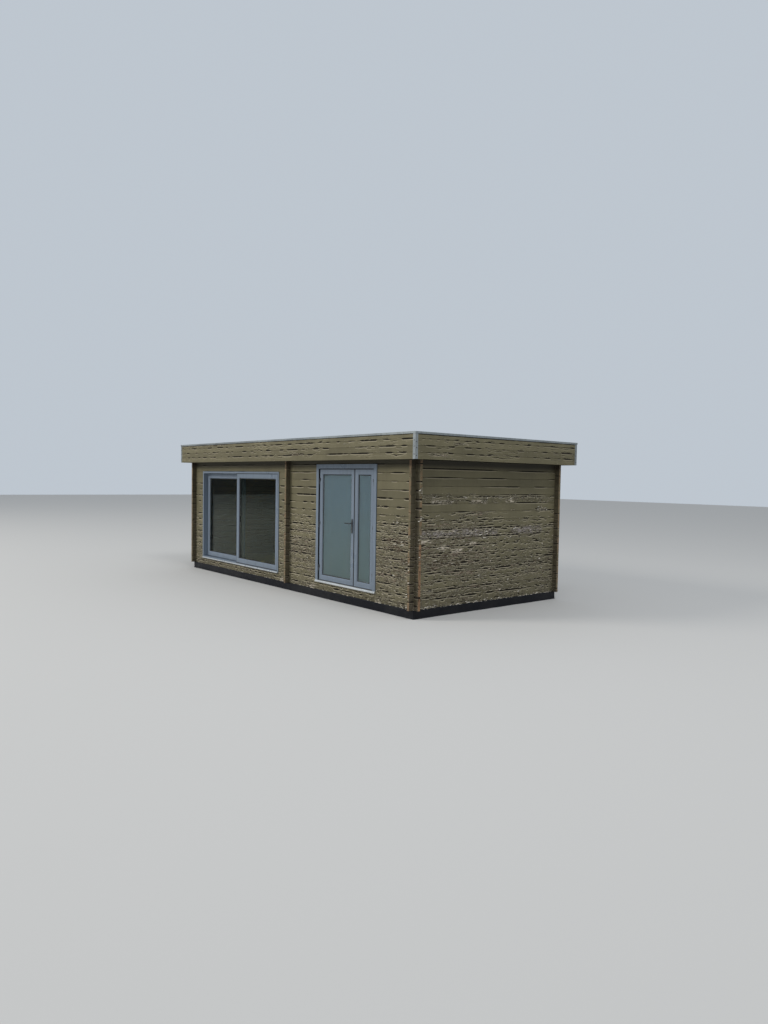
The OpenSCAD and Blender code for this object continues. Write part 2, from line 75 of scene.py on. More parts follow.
# Node wiring

FLOAT, VECTOR, GEOMETRY = "NodeSocketFloat", "NodeSocketVector", "NodeSocketGeometry"
MATERIAL, OBJECT, INTEGER = "NodeSocketMaterial", "NodeSocketObject", "NodeSocketInt"


class Signal:
    """What a node puts out. A sum on it adds a Math node, and a label gives another output."""

    def __init__(self, socket):
        self.socket = socket

    def __getitem__(self, label):
        return Signal(self.socket.node.outputs[label])

    def __add__(self, other):
        return calc("ADD", self, other)

    def __sub__(self, other):
        return calc("SUBTRACT", self, other)

    def __rsub__(self, other):
        return calc("SUBTRACT", other, self)

    def __mul__(self, other):
        return calc("MULTIPLY", self, other)

    def __truediv__(self, other):
        return calc("DIVIDE", self, other)

    def __abs__(self):
        return calc("ABSOLUTE", self)

    def scaled(self, factor, more):
        """This times a factor, and more added."""
        return calc("MULTIPLY_ADD", self, factor, more)

    def ramp(self, low, high, out_low=0.0, out_high=1.0, kind="SMOOTHSTEP"):
        """Goes from one value to another while this goes from low to high."""
        return wire("ShaderNodeMapRange", {
            "Value": self, "From Min": low, "From Max": high, "To Min": out_low,
            "To Max": out_high}, interpolation_type=kind)


def rgb(red, green, blue):
    return (red, green, blue, 1.0)


def tree_of(*values):
    """The node tree of the first signal among some values."""
    return next(value.socket.id_data for value in values if isinstance(value, Signal))


def plug(socket, value):
    """Links an input to a signal, or sets it to a plain value."""
    if isinstance(value, Signal):
        socket.id_data.links.new(value.socket, socket)
    else:
        socket.default_value = value


def feed(node, inputs):
    for label, value in inputs.items():
        plug(node.inputs[label], value)


def wire(kind, inputs, tree=None, **settings):
    """Adds a node to a tree, or to the one of its signals, and gives its first output."""
    node = (tree or tree_of(*inputs.values())).nodes.new(kind)
    for name, value in settings.items():
        setattr(node, name, value)
    feed(node, inputs)
    return Signal(node.outputs[0])


def source(tree, kind):
    """Adds a node that needs no input."""
    return wire(kind, {}, tree)


def calc(operation, *values):
    return wire("ShaderNodeMath", dict(enumerate(values)), operation=operation)


def larger(first, second):
    return calc("MAXIMUM", first, second)


def wave(turns):
    """A sine between 0 and 1."""
    return calc("SINE", turns).scaled(0.5, 0.5)


def mix(factor, first, second, kind="RGBA"):
    """A Mix node between two colours, or between two numbers with kind FLOAT."""
    node = tree_of(factor).nodes.new("ShaderNodeMix")
    node.data_type = kind
    ending = "_Color" if kind == "RGBA" else "_Float"
    sockets = {socket.identifier: socket for socket in [*node.inputs, *node.outputs]}
    plug(sockets["Factor_Float"], factor)
    plug(sockets["A" + ending], first)
    plug(sockets["B" + ending], second)
    return Signal(sockets["Result" + ending])


def split(vector):
    parts = wire("ShaderNodeSeparateXYZ", {0: vector})
    return [parts[axis] for axis in range(3)]


def join(x, y, z):
    return wire("ShaderNodeCombineXYZ", {0: x, 1: y, 2: z})


def stretch(vector, scale):
    return wire("ShaderNodeMapping", {"Vector": vector, "Scale": scale})


def noise(vector, scale, detail=4.0, roughness=0.55, distortion=0.0):
    """Noise at one scale, or at a scale for each axis."""
    if isinstance(scale, tuple):
        vector, scale = stretch(vector, scale), 1.0
    return wire("ShaderNodeTexNoise", {
        "Vector": vector, "Scale": scale, "Detail": detail, "Roughness": roughness,
        "Distortion": distortion})


def bent(vector, scale, detail, reach):
    """A place pushed about by noise, by a reach along each axis."""
    push = wire("ShaderNodeTexNoise", {
        "Vector": vector, "Scale": scale, "Detail": detail})["Color"]
    return wire("ShaderNodeVectorMath", {0: push, 1: reach, 2: vector},
                operation="MULTIPLY_ADD")


def cells(vector, randomness=1.0, **settings):
    """Cells of random shape, one across on average."""
    return wire("ShaderNodeTexVoronoi", {
        "Vector": vector, "Scale": 1.0, "Randomness": randomness}, **settings)


def dice(number):
    """A random number between 0 and 1 for each number."""
    return wire("ShaderNodeTexWhiteNoise", {"W": number}, noise_dimensions="1D")


def new_group(name, kind, inputs):
    """A node group and its inputs, each given by its plain value or its kind of socket."""
    tree = bpy.data.node_groups.new(name, kind)
    for label, value in inputs.items():
        if isinstance(value, str):
            tree.interface.new_socket(label, in_out="INPUT", socket_type=value)
        else:
            socket = tree.interface.new_socket(
                label, in_out="INPUT", socket_type=INTEGER if isinstance(value, int) else FLOAT)
            socket.default_value = value
    return tree, source(tree, "NodeGroupInput")


def put_out(tree, values, kind=FLOAT):
    """Ends a node group with named outputs."""
    for label in values:
        tree.interface.new_socket(label, in_out="OUTPUT", socket_type=kind)
    feed(tree.nodes.new("NodeGroupOutput"), values)
    return tree


def place_effect(effect, **values):
    """Places an effect's group among the nodes that feed it."""
    node = tree_of(*values.values()).nodes.new("ShaderNodeGroup")
    node.node_tree = EFFECTS[effect]
    feed(node, values)
    return Signal(node.outputs[0])


# Effects that several finishes share. Their vectors have the grain along the first axis.

# The height above Calm over which gaping seams get calmer
CALM_RISE = 0.4


def timber_grain():
    """Fibres, growth rings and knots of softwood."""
    tree, given = new_group("timber_grain", "ShaderNodeTree", {"Vector": VECTOR})
    place = given["Vector"]
    broad = noise(place, (0.9, 9, 9), 3)
    fibre = noise(place, (5, 260, 260), 5, 0.6)
    rings = wave(split(place)[2].scaled(420.0, broad * 26.0))
    spots = cells(stretch(place, (1.7, 0.01, 6.5)), 0.95)
    rare = split(spots["Color"])[0].ramp(0.6, 0.62)
    knots = spots["Distance"].ramp(0.11, 0.04) * rare
    grain = fibre.scaled(0.72, rings * 0.28)
    return put_out(tree, {"Grain": grain, "Knots": knots, "Height": grain - knots})


def log_courses():
    """Where a point lies among the logs or boards, and how far their seam gapes there."""
    tree, given = new_group("log_courses", "ShaderNodeTree", {
        "Vector": VECTOR, "First": 0.0, "Cover": COURSE, "Gape": 0.5, "Width": 0.006,
        "Pace": 5.0, "Least": 0.0008, "Calm": 1.25})
    x, y, up = split(given["Vector"])
    level = (up - given["First"]) / given["Cover"]
    share = calc("FRACT", level)
    distance = calc("MINIMUM", share, 1.0 - share) * given["Cover"]
    row = calc("ROUND", level)
    seam_up = row.scaled(given["Cover"], given["First"])
    pace = given["Pace"] * seam_up.ramp(given["Calm"], given["Calm"] + CALM_RISE, 1.0, 0.4)
    lens = noise(join(x * pace, y * pace, row * 5.7), 1.0, 0).ramp(0.45, 0.64, kind="LINEAR")
    half = (lens * given["Gape"]).scaled(given["Width"], given["Least"])
    beyond = distance - half
    # Seam marks the dark open gap, with painted shade in it
    seam = beyond.ramp(0.0012, -0.0008) * half.ramp(0.0004, 0.0016)
    # Glint marks a painted highlight on the lip of the log just below the seam
    below = share.ramp(0.5, 0.51)
    glint = (below * beyond.ramp(0.0150, 0.0110) * beyond.ramp(0.0, 0.0012)
             * lens.ramp(0.1, 0.4) * given["Gape"])
    return put_out(tree, {"Distance": distance, "Tone": dice(calc("FLOOR", level)),
                          "Seam": seam, "Glint": glint})


def flaking_paint():
    """Paint cracked into long scales: scales that are gone, lifted rims and cracks."""
    tree, given = new_group("flaking_paint", "ShaderNodeTree", {
        "Vector": VECTOR, "Damage": 0.3, "Distance": 1.0})
    place = given["Vector"]
    scales = stretch(bent(place, 26.0, 3.0, (0.014, 0.014, 0.008)), (12, 85, 85))
    gone_by, tone = split(cells(scales)["Color"])[:2]
    edges = cells(scales, feature="DISTANCE_TO_EDGE")["Distance"]
    zones = noise(place, (1.6, 11, 11), 5, 0.6)
    near_seam = given["Distance"].ramp(0.022, 0.004, 0.0, 0.10)
    strength = (zones + given["Damage"] + near_seam).ramp(0.82, 1.35)
    bare = (gone_by - strength * strength * 0.95).ramp(0.0, -0.03)
    rim = ((1.0 - bare) * edges.ramp(0.26, 0.14) * strength.ramp(0.03, 0.30)
           * tone.ramp(0.35, 0.65))
    crack = edges.ramp(0.14, 0.07) * strength.ramp(0.0, 0.25) * tone.ramp(0.25, 0.5)
    return put_out(tree, {"Bare": bare, "Tone": tone, "Rim": rim, "Crack": crack,
                          "Height": rim * 0.8 - larger(bare, crack)})


def weathering():
    """Patchy fading, run marks down the surface, splashes above the ground and specks."""
    tree, given = new_group("weathering", "ShaderNodeTree", {"Vector": VECTOR})
    place = given["Vector"]
    return put_out(tree, {
        "Patches": noise(place, 1.6, 5, 0.6),
        "Streaks": noise(place, (22, 22, 1.1), 4, 0.6),
        "Splash": noise(place, 9.0, 4).scaled(0.35, split(place)[2]).ramp(0.60, 0.28),
        "Specks": noise(place, 150.0, 3).ramp(0.62, 0.72)})


def end_grain():
    """Growth rings and radial cracks on the sawn end of a log."""
    tree, given = new_group("end_grain", "ShaderNodeTree", {
        "Across": 0.0, "Up": 0.0, "Cover": COURSE})
    row = calc("FLOOR", given["Up"] / given["Cover"])
    heart = dice(row)
    up = given["Up"] - row.scaled(given["Cover"], given["Cover"] * 0.5)
    across = given["Across"] - heart * 0.06
    radius = calc("SQRT", up * up + across * across)
    wobble = noise(join(across, up, heart), 30.0, 3)
    angle = calc("ARCTAN2", up, across)
    rays = noise(join(angle * 2.2, heart, radius * 6.0), 2.4, 2)
    return put_out(tree, {"Rings": wave(radius.scaled(1400.0, wobble * 6.0)),
                          "Cracks": abs(rays - 0.5).ramp(0.022, 0.004)})


EFFECTS = {effect.__name__: effect() for effect in (
    timber_grain, log_courses, flaking_paint, weathering, end_grain)}


# Camera, light and floor

# The camera's place, its turns in radians, and its focal length in pixels of the picture
CAMERA_AT = Vector((10.9919, -8.3436, 1.9680))
CAMERA_YAW, CAMERA_PITCH, CAMERA_ROLL = 0.8788, 0.0459, 0.0166
FOCAL_PX = 721.33
PICTURE_H = 1024
SENSOR_MM = 36
FLOOR_REACH = 60


def build_camera():
    ahead = Vector((-math.sin(CAMERA_YAW) * math.cos(CAMERA_PITCH),
                    math.cos(CAMERA_YAW) * math.cos(CAMERA_PITCH),
                    -math.sin(CAMERA_PITCH)))
    level = Vector((math.cos(CAMERA_YAW), math.sin(CAMERA_YAW), 0))
    upright = level.cross(ahead)
    right = math.cos(CAMERA_ROLL) * level + math.sin(CAMERA_ROLL) * upright
    up = math.cos(CAMERA_ROLL) * upright - math.sin(CAMERA_ROLL) * level
    data = bpy.data.cameras.new("camera")
    data.sensor_width = SENSOR_MM
    data.lens = FOCAL_PX / PICTURE_H * SENSOR_MM
    data.clip_end = 500
    camera = bpy.data.objects.new("camera", data)
    placed = Matrix((right, up, -ahead)).transposed().to_4x4()
    placed.translation = CAMERA_AT
    camera.matrix_world = placed
    collection.objects.link(camera)
    bpy.context.scene.camera = camera


def area_light(name, at, size, power, colour):
    """A round lamp that looks at a point a metre above the middle of the floor."""
    data = bpy.data.lights.new(name, "AREA")
    data.shape = "DISK"
    data.size = size
    data.energy = power
    data.color = colour
    lamp = bpy.data.objects.new(name, data)
    lamp.location = at
    lamp.rotation_euler = (Vector((0, 0, 1)) - Vector(at)).to_track_quat("-Z", "Y").to_euler()
    collection.objects.link(lamp)


def build_light():
    """A soft dome, brighter overhead than at the horizon, with two large lamps."""
    world = bpy.data.worlds.new("studio")
    world.use_nodes = True
    tree = world.node_tree
    way_up = split(source(tree, "ShaderNodeTexCoord")["Generated"])[2]
    seen = source(tree, "ShaderNodeLightPath")["Is Camera Ray"]
    feed(tree.nodes["Background"], {
        "Color": mix(seen, rgb(0.80, 0.86, 0.93), rgb(0.78, 0.86, 0.95)),
        "Strength": mix(seen, way_up.ramp(0.0, 0.9, 0.12, 0.95, "LINEAR"), 0.66, "FLOAT")})
    bpy.context.scene.world = world
    area_light("key", at=(-14, -26, 19), size=11, power=4750, colour=(1.0, 0.97, 0.92))
    area_light("fill", at=(10, -3, 16), size=6, power=800, colour=(0.99, 0.99, 1.0))
    bpy.context.scene.view_settings.view_transform = "Standard"


def build_floor():
    mesh = bpy.data.meshes.new("pale_floor")
    corners = [(x * FLOOR_REACH, y * FLOOR_REACH, 0)
               for x, y in ((-1, -1), (1, -1), (1, 1), (-1, 1))]
    mesh.from_pydata(corners, [], [(0, 1, 2, 3)])
    floor = bpy.data.objects.new("pale_floor", mesh)
    material, shader, place = new_finish("pale_floor_finish")
    feed(shader, {"Base Color": rgb(0.55, 0.54, 0.52), "Roughness": 0.9})
    mesh.materials.append(material)
    collection.objects.link(floor)


# Finishes

def new_finish(name):
    """A material, its Principled BSDF and the place of a point on the object."""
    material = bpy.data.materials.new(name)
    material.use_nodes = True
    tree = material.node_tree
    tree.nodes.clear()
    shader = tree.nodes.new("ShaderNodeBsdfPrincipled")
    feed(tree.nodes.new("ShaderNodeOutputMaterial"), {"Surface": Signal(shader.outputs[0])})
    return material, shader, source(tree, "ShaderNodeTexCoord")["Object"]


def along_grain(place, along):
    """Turns a place so that the grain runs along its first axis."""
    x, y, z = split(place)
    return join(x, y, z) if along == "X" else join(y, x, z)


def bump(height, depth, strength=1.0):
    return wire("ShaderNodeBump", {
        "Height": height, "Distance": depth, "Strength": strength})


PAINT = (0.171, 0.152, 0.089)
FRESH_WOOD = rgb(0.100, 0.080, 0.052)
PINK_WOOD = rgb(0.40, 0.32, 0.24)
GREY_WOOD = rgb(0.30, 0.27, 0.225)
# Pale primer under lifted paint, also used as a painted highlight on the lips of seams and scales
PRIMER_AND_HIGHLIGHT = rgb(0.54, 0.48, 0.34)
PALE = rgb(0.70, 0.62, 0.50)
# Dark open seams, cracks and gaps, with the painted shade in them
GAP_DARK_AND_SHADE = rgb(0.008, 0.0055, 0.0035)
BAND_GREY = rgb(0.36, 0.32, 0.295)
# Black seals round sashes and leaves, with painted shade in the gaps beside them
SEAL_DARK_AND_SHADE = rgb(0.020, 0.023, 0.027)
# Painted shade under the roof's overhang, over the top of the walls
EAVES_SHADE = rgb(0.030, 0.027, 0.020)
DIRT = rgb(0.085, 0.072, 0.050)
# Painted shade on the flanks of the log ends past each crossing
FLANK_SHADE = rgb(0.045, 0.034, 0.024)
INSIDE_WOOD = rgb(0.42, 0.29, 0.16)
INSIDE_DARK = rgb(0.30, 0.19, 0.095)
KNOT = rgb(0.11, 0.05, 0.022)
END_WOOD = rgb(0.37, 0.225, 0.125)
END_DARK = rgb(0.09, 0.05, 0.028)


def inside_box(run, up, low, high, bottom, top, soft):
    """1 inside a soft-edged stretch of the wall, 0 outside."""
    edge = min(soft, 0.02)
    return (run.ramp(low - soft, low + soft) * run.ramp(high + soft, high - soft)
            * up.ramp(bottom - edge, bottom + edge) * up.ramp(top + edge, top - edge))


# Where the paint has gone further: the stretch along the wall, the heights, the softness of
# the edge and how much more damage there is. Grey bands have the first four of these.
# Pale spots have their middle, their height and half their length.

RIGHT_WALL_WORN = [
    (-1.60, 1.62, 1.665, 1.745, 0.10, 0.30), (-1.29, -0.85, 1.625, 1.665, 0.05, 0.50),
    (-0.47, -0.10, 1.625, 1.665, 0.05, 0.50), (-1.50, -0.10, 0.70, 1.50, 0.30, 0.22),
    (1.05, 1.35, 1.47, 1.55, 0.06, 0.25)]
RIGHT_WALL_PALE = [
    (-1.52, 0.142, 0.08), (-1.38, 1.085, 0.11), (-1.02, 0.985, 0.11), (-0.42, 1.02, 0.08),
    (-1.07, 1.645, 0.20), (-0.29, 1.645, 0.17), (0.42, 1.655, 0.10), (-0.75, 0.93, 0.12),
    (1.20, 1.51, 0.10)]
RIGHT_WALL_GREY = [(-1.45, 0.13, 1.132, 1.243), (0.48, 1.21, 1.132, 1.243)]
FRONT_WALL_WORN = [
    (2.72, 3.50, 0.45, 1.40, 0.10, 0.20), (2.95, 3.30, 0.95, 1.10, 0.05, 0.20),
    (0.00, 1.05, 0.40, 1.35, 0.20, 0.10)]
FRONT_WALL_PALE = [
    (0.02, 0.16, 0.05), (1.00, 0.155, 0.05), (2.73, 0.16, 0.07), (3.41, 0.146, 0.13)]
FRONT_EDGE_WORN = [(0.60, 1.03, 2.335, 2.37, 0.04, 0.60), (-3.66, -1.70, 2.55, 2.61, 0.05, 0.30)]
END_EDGE_WORN = [(-1.10, -0.80, 2.46, 2.50, 0.05, 0.30), (-1.55, -1.20, 2.29, 2.33, 0.05, 0.35)]

# Half the height of a pale spot, and how many rows of scales a log has between its seams
SPOT_RISE = 0.024
SCALE_ROWS = 2


def greyed_band(vector, bands):
    """Broken bands where the paint has gone and the wood has greyed."""
    run, up = split(vector)[::2]
    bare = 0.0
    for low, high, bottom, top in bands:
        bare = larger(bare, inside_box(run, up, low, high, bottom, top, 0.06))
    return bare * noise(vector, (7, 40, 40), 5, 0.65).ramp(0.38, 0.50)


def faded_paint(course, weather, grain):
    """The paint's colour, a little different from log to log, patch to patch and fibre to fibre."""
    tone = (course["Tone"].ramp(0, 1, 0.88, 1.12, "LINEAR")
            + weather["Patches"].ramp(0.3, 0.7, -0.12, 0.12)
            + grain["Grain"].ramp(0.2, 0.8, -0.10, 0.10)
            + weather["Streaks"].ramp(0.35, 0.75, 0.02, -0.03))
    return wire("ShaderNodeVectorMath", {0: PAINT, "Scale": tone}, operation="SCALE")


def worn_wood(flaking, weather, grain, band):
    """Wood under the paint: some of it fresh, some greyed, and darker along its grain."""
    wood = mix(flaking["Tone"].ramp(0.55, 0.95), FRESH_WOOD, PINK_WOOD)
    wood = mix(larger(weather["Patches"].ramp(0.42, 0.62, 0.0, 0.30), band), wood, GREY_WOOD)
    return mix(grain["Grain"].ramp(0.3, 0.8, 0.0, 0.40), wood, END_DARK)


def knotty(grain, light, dark):
    """Planed softwood between two colours, with its knots."""
    return mix(grain["Knots"], mix(grain["Grain"].ramp(0.2, 0.8), light, dark), KNOT)


def log_ends(colour, place, along, vector, seam, first_seam, bare_to):
    """Sawn log ends, bare up to a height and partly above it, with painted shade on their flanks.
    """
    run, across, up = split(vector)
    facing = along_grain(source(tree_of(place), "ShaderNodeTexCoord")["Normal"], along)
    end = abs(split(facing)[0]).ramp(0.6, 0.8)
    sawn = place_effect("end_grain", Across=across, Up=up - first_seam, Cover=COURSE)
    cut = mix(sawn["Rings"] * 0.5, END_WOOD, END_DARK)
    cut = mix(sawn["Cracks"], cut, GAP_DARK_AND_SHADE)
    low_down = up.ramp(bare_to + 0.02, bare_to - 0.02)
    old = noise(place, 14.0, 5, 0.7).ramp(0.36, 0.58)
    bare = larger(low_down, old * 0.6) * end
    colour = mix(bare * (1.0 - seam), colour, cut)
    crossing = SIDE if along == "X" else FRONT
    # Painted shade on the flanks past the crossing
    shaded_flank = abs(run).ramp(crossing + 0.001, crossing + 0.006) * (1.0 - end)
    return mix(shaded_flank * 0.62, colour, FLANK_SHADE)


def in_the_rooms(place):
    """1 on the faces of the logs inside the building, 0 outside."""
    x, y = split(place)[:2]
    return (abs(x).ramp(SIDE - LOG_T + 0.002, SIDE - LOG_T + 0.001)
            * abs(y).ramp(FRONT - LOG_T + 0.002, FRONT - LOG_T + 0.001))


def log_paint(name, along, first_seam, cover=COURSE, wear=0.0, worn=(), grey=(), pale=(),
              bare_to=0.0, gape=0.6, width=0.013, pace=6.5, calm=1.25, lip=0.60, shaded=0.0,
              scale_pace=14.0, scale_width=0.0085):
    """Olive paint on logs or boards: dark seams with painted shade in them, painted highlights
    under them, scales that have gone, bare wood, dirt, and painted shade under the roof's overhang
    and under the trim.
    """
    material, shader, place = new_finish(name)
    vector = along_grain(place, along)
    run, up = split(vector)[::2]
    boards = cover == BOARD
    if not boards:
        gape = up.ramp(calm, calm + CALM_RISE, gape, 0.70 * gape)
    grain = place_effect("timber_grain", Vector=vector)
    weather = place_effect("weathering", Vector=place)
    course = place_effect("log_courses", Vector=vector, First=first_seam, Cover=cover,
                          Gape=gape, Width=width, Pace=pace, Calm=calm)

    damage = up.ramp(1.85, 0.75, 0.06, 0.40) + wear
    for low, high, bottom, top, soft, more in worn:
        damage = inside_box(run, up, low, high, bottom, top, soft).scaled(more, damage)
    band = 0.0
    if grey:
        band = greyed_band(vector, grey)
        damage = band.scaled(0.75, damage)
    flaking = place_effect("flaking_paint", Vector=vector, Damage=damage,
                           Distance=course["Distance"])
    colour = mix(flaking["Bare"], faded_paint(course, weather, grain),
                 worn_wood(flaking, weather, grain, band))
    if grey:
        colour = mix(band * 0.85, colour, BAND_GREY)
    # Rims: lifted paint showing pale primer, with a painted highlight on the lifted edge
    colour = mix(flaking["Rim"] * 0.80, colour, PRIMER_AND_HIGHLIGHT)
    colour = mix(flaking["Crack"] * 0.8, colour, GAP_DARK_AND_SHADE)
    colour = mix(weather["Splash"] * weather["Streaks"].ramp(0.35, 0.7) * 0.7, colour, DIRT)
    for middle, height, half in pale:
        spot = inside_box(run, up, middle - half, middle + half, height - SPOT_RISE,
                          height + SPOT_RISE, 0.02)
        ragged = noise(vector, (16, 80, 80), 4).ramp(0.44, 0.52)
        colour = mix(spot * ragged, colour, PALE)

    worn_here = (weather["Patches"] - 0.5).scaled(0.5, damage)
    lifted = place_effect("log_courses", Vector=bent(vector, 9.0, 2.0, (0.04, 0.04, 0.060)),
                          First=first_seam, Cover=cover / SCALE_ROWS, Pace=scale_pace,
                          Width=scale_width, Least=-0.001, Gape=worn_here.ramp(0.14, 0.34))
    # No seams and no lifted scales at the very foot and top of a wall or a fascia
    lower, upper = (EDGE_LO.z, EDGE_HI.z) if boards else (FOOT, TOP)
    between = up.ramp(lower + 0.022, lower + 0.030) * up.ramp(upper - 0.022, upper - 0.030)
    flecks = noise(vector, (24, 100, 100), 2).ramp(0.67, 0.70) * worn_here.ramp(0.20, 0.42)
    seam = course["Seam"] * between
    # Painted highlights on the lips of lifted scales and seams, scaled by lip, and dark gaps with
    # painted shade in them
    colour = mix(lifted["Glint"] * between * lip, colour, PRIMER_AND_HIGHLIGHT)
    colour = mix(lifted["Seam"] * between * 0.90, colour, GAP_DARK_AND_SHADE)
    colour = mix(flecks * between * 0.8, colour, PALE)
    colour = mix(course["Glint"] * between * (1.1 * lip), colour, PRIMER_AND_HIGHLIGHT)
    colour = mix(seam * 0.95, colour, GAP_DARK_AND_SHADE)

    outside = 1.0
    if boards:
        # A painted shadow in a broken line under the drip edge of the trim
        trim_shadow = up.ramp(EDGE_HI.z - 0.040, EDGE_HI.z - 0.036)
        uneven = noise(vector, (6, 1, 1), 1).ramp(0.30, 0.50, 0.35, 1.0)
        colour = mix(trim_shadow * uneven, colour, GAP_DARK_AND_SHADE)
    else:
        # Painted shade: darker just under the roof's overhang, and higher up a wall by the amount
        # given as shaded
        eaves_shade = up.ramp(EDGE_LO.z - 0.150, EDGE_LO.z - 0.045, 0.0, 0.80)
        colour = mix(eaves_shade + up.ramp(1.5, 2.1, 0.0, shaded), colour, EAVES_SHADE)
        colour = log_ends(colour, place, along, vector, seam, first_seam, bare_to)
        rooms = in_the_rooms(place)
        colour = mix(rooms, colour, knotty(grain, INSIDE_WOOD, INSIDE_DARK))
        outside = 1.0 - rooms
    opened = larger(seam, lifted["Seam"])
    relief = (flaking["Height"] - opened).scaled(outside, grain["Height"] * 0.22)
    feed(shader, {"Base Color": colour, "Specular IOR Level": 0.30,
                  "Roughness": mix(larger(flaking["Bare"], opened), 0.62, 0.95, "FLOAT"),
                  "Normal": bump(relief, 0.0016)})
    return material


def plain_timber(name, along, light, dark, roughness=0.7):
    """Sawn or planed softwood, a little darker in patches."""
    material, shader, place = new_finish(name)
    grain = place_effect("timber_grain", Vector=along_grain(place, along))
    patches = place_effect("weathering", Vector=place)["Patches"].ramp(0.4, 0.7, 0.0, 0.35)
    feed(shader, {"Base Color": mix(patches, knotty(grain, light, dark), dark),
                  "Roughness": grain["Grain"].ramp(0, 1, roughness - 0.1, roughness + 0.1),
                  "Normal": bump(grain["Height"], 0.0006)})
    return material


def coated(name, colour, roughness, dirt, metallic=0.0, grime=0.5, joints=()):
    """A smooth coated or drawn surface with dust, run marks, a fine orange peel and dark bands
    where given: seals, with painted shade in the gaps.
    """
    material, shader, place = new_finish(name)
    weather = place_effect("weathering", Vector=place)
    colour = mix(weather["Streaks"].ramp(0.42, 0.75) * grime, colour, dirt)
    colour = mix(weather["Splash"] * grime, colour, dirt)
    colour = mix(weather["Specks"] * (0.5 * grime), colour, dirt)
    # Dark bands at the given places: seals, with painted shade in the gaps
    if joints:
        x, z = split(place)[::2]
    for low, high, bottom, top in joints:
        colour = mix(inside_box(x, z, low, high, bottom, top, 0.002), colour, SEAL_DARK_AND_SHADE)
    feed(shader, {
        "Base Color": colour, "Metallic": metallic,
        "Roughness": weather["Patches"].ramp(0.3, 0.7, roughness - 0.08, roughness + 0.12),
        "Normal": bump(noise(place, 380.0, 3), 0.0002, 0.5)})
    return material


def brushed(name, colour, roughness, dirt):
    """Satin metal with fine scratches down it and darker handled places."""
    material, shader, place = new_finish(name)
    weather = place_effect("weathering", Vector=place)
    lines = noise(place, (900, 900, 30), 3, 0.6)
    colour = mix(weather["Patches"].ramp(0.35, 0.7, 0.0, 0.6), colour, dirt)
    feed(shader, {"Base Color": mix(weather["Specks"] * 0.5, colour, dirt), "Metallic": 1.0,
                  "Roughness": lines.ramp(0.3, 0.7, roughness - 0.08, roughness + 0.1),
                  "Normal": bump(lines, 0.0001, 0.6)})
    return material


def glass(name, tint, roughness, clearness, bending, high_tint):
    """A pane with faint run marks, dust towards its foot and another tint higher up."""
    material, shader, place = new_finish(name)
    weather = place_effect("weathering", Vector=place)
    dust = larger(weather["Streaks"].ramp(0.5, 0.85, 0.0, 0.25), weather["Splash"] * 0.35)
    high = weather["Patches"].scaled(0.8, split(place)[2]).ramp(0.8, 2.2, kind="LINEAR")
    feed(shader, {"Base Color": mix(dust, mix(high, tint, high_tint), rgb(0.62, 0.62, 0.56)),
                  "Roughness": dust.ramp(0.0, 0.5, roughness, roughness + 0.12),
                  "Transmission Weight": clearness, "IOR": bending,
                  "Specular Tint": rgb(0.86, 1.0, 0.84)})
    return material


def creased_sheet(name, colour, roughness, depth):
    """Thin plastic or rubber sheet, creased and dusty."""
    material, shader, place = new_finish(name)
    patches = place_effect("weathering", Vector=place)["Patches"]
    creases = noise(place, (9, 9, 26), 6, 0.65, 1.2)
    dust = patches.ramp(0.42, 0.68) * 0.12
    feed(shader, {"Base Color": mix(dust, colour, rgb(0.085, 0.08, 0.07)),
                  "Roughness": creases.ramp(0.2, 0.8, roughness, roughness + 0.25),
                  "Specular IOR Level": 0.22, "Normal": bump(creases, depth)})
    return material


def flake_paint(name, light, dark):
    """One side of a loose paint scale, mottled from scale to scale."""
    material, shader, place = new_finish(name)
    fine = noise(place, 420.0, 3)
    feed(shader, {"Base Color": mix(noise(place, 34.0, 3).ramp(0.35, 0.65), light, dark),
                  "Roughness": fine.ramp(0.3, 0.7, 0.6, 0.85), "Normal": bump(fine, 0.0003, 0.6)})
    return material


def sash_seals_and_shade(sash, reach=0.008):
    """The black lines round a sash or a leaf: its seals, with painted shade in the gap round it."""
    lo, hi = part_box(sash)
    ends = [(x - reach, x + reach, lo.z, hi.z) for x in (lo.x, hi.x)]
    return ends + [(lo.x, hi.x, z - reach, z + reach) for z in (lo.z, hi.z)]


METAL_DIRT = rgb(0.10, 0.095, 0.085)
RAW_WOOD, RAW_DARK = rgb(0.46, 0.32, 0.18), rgb(0.30, 0.19, 0.10)

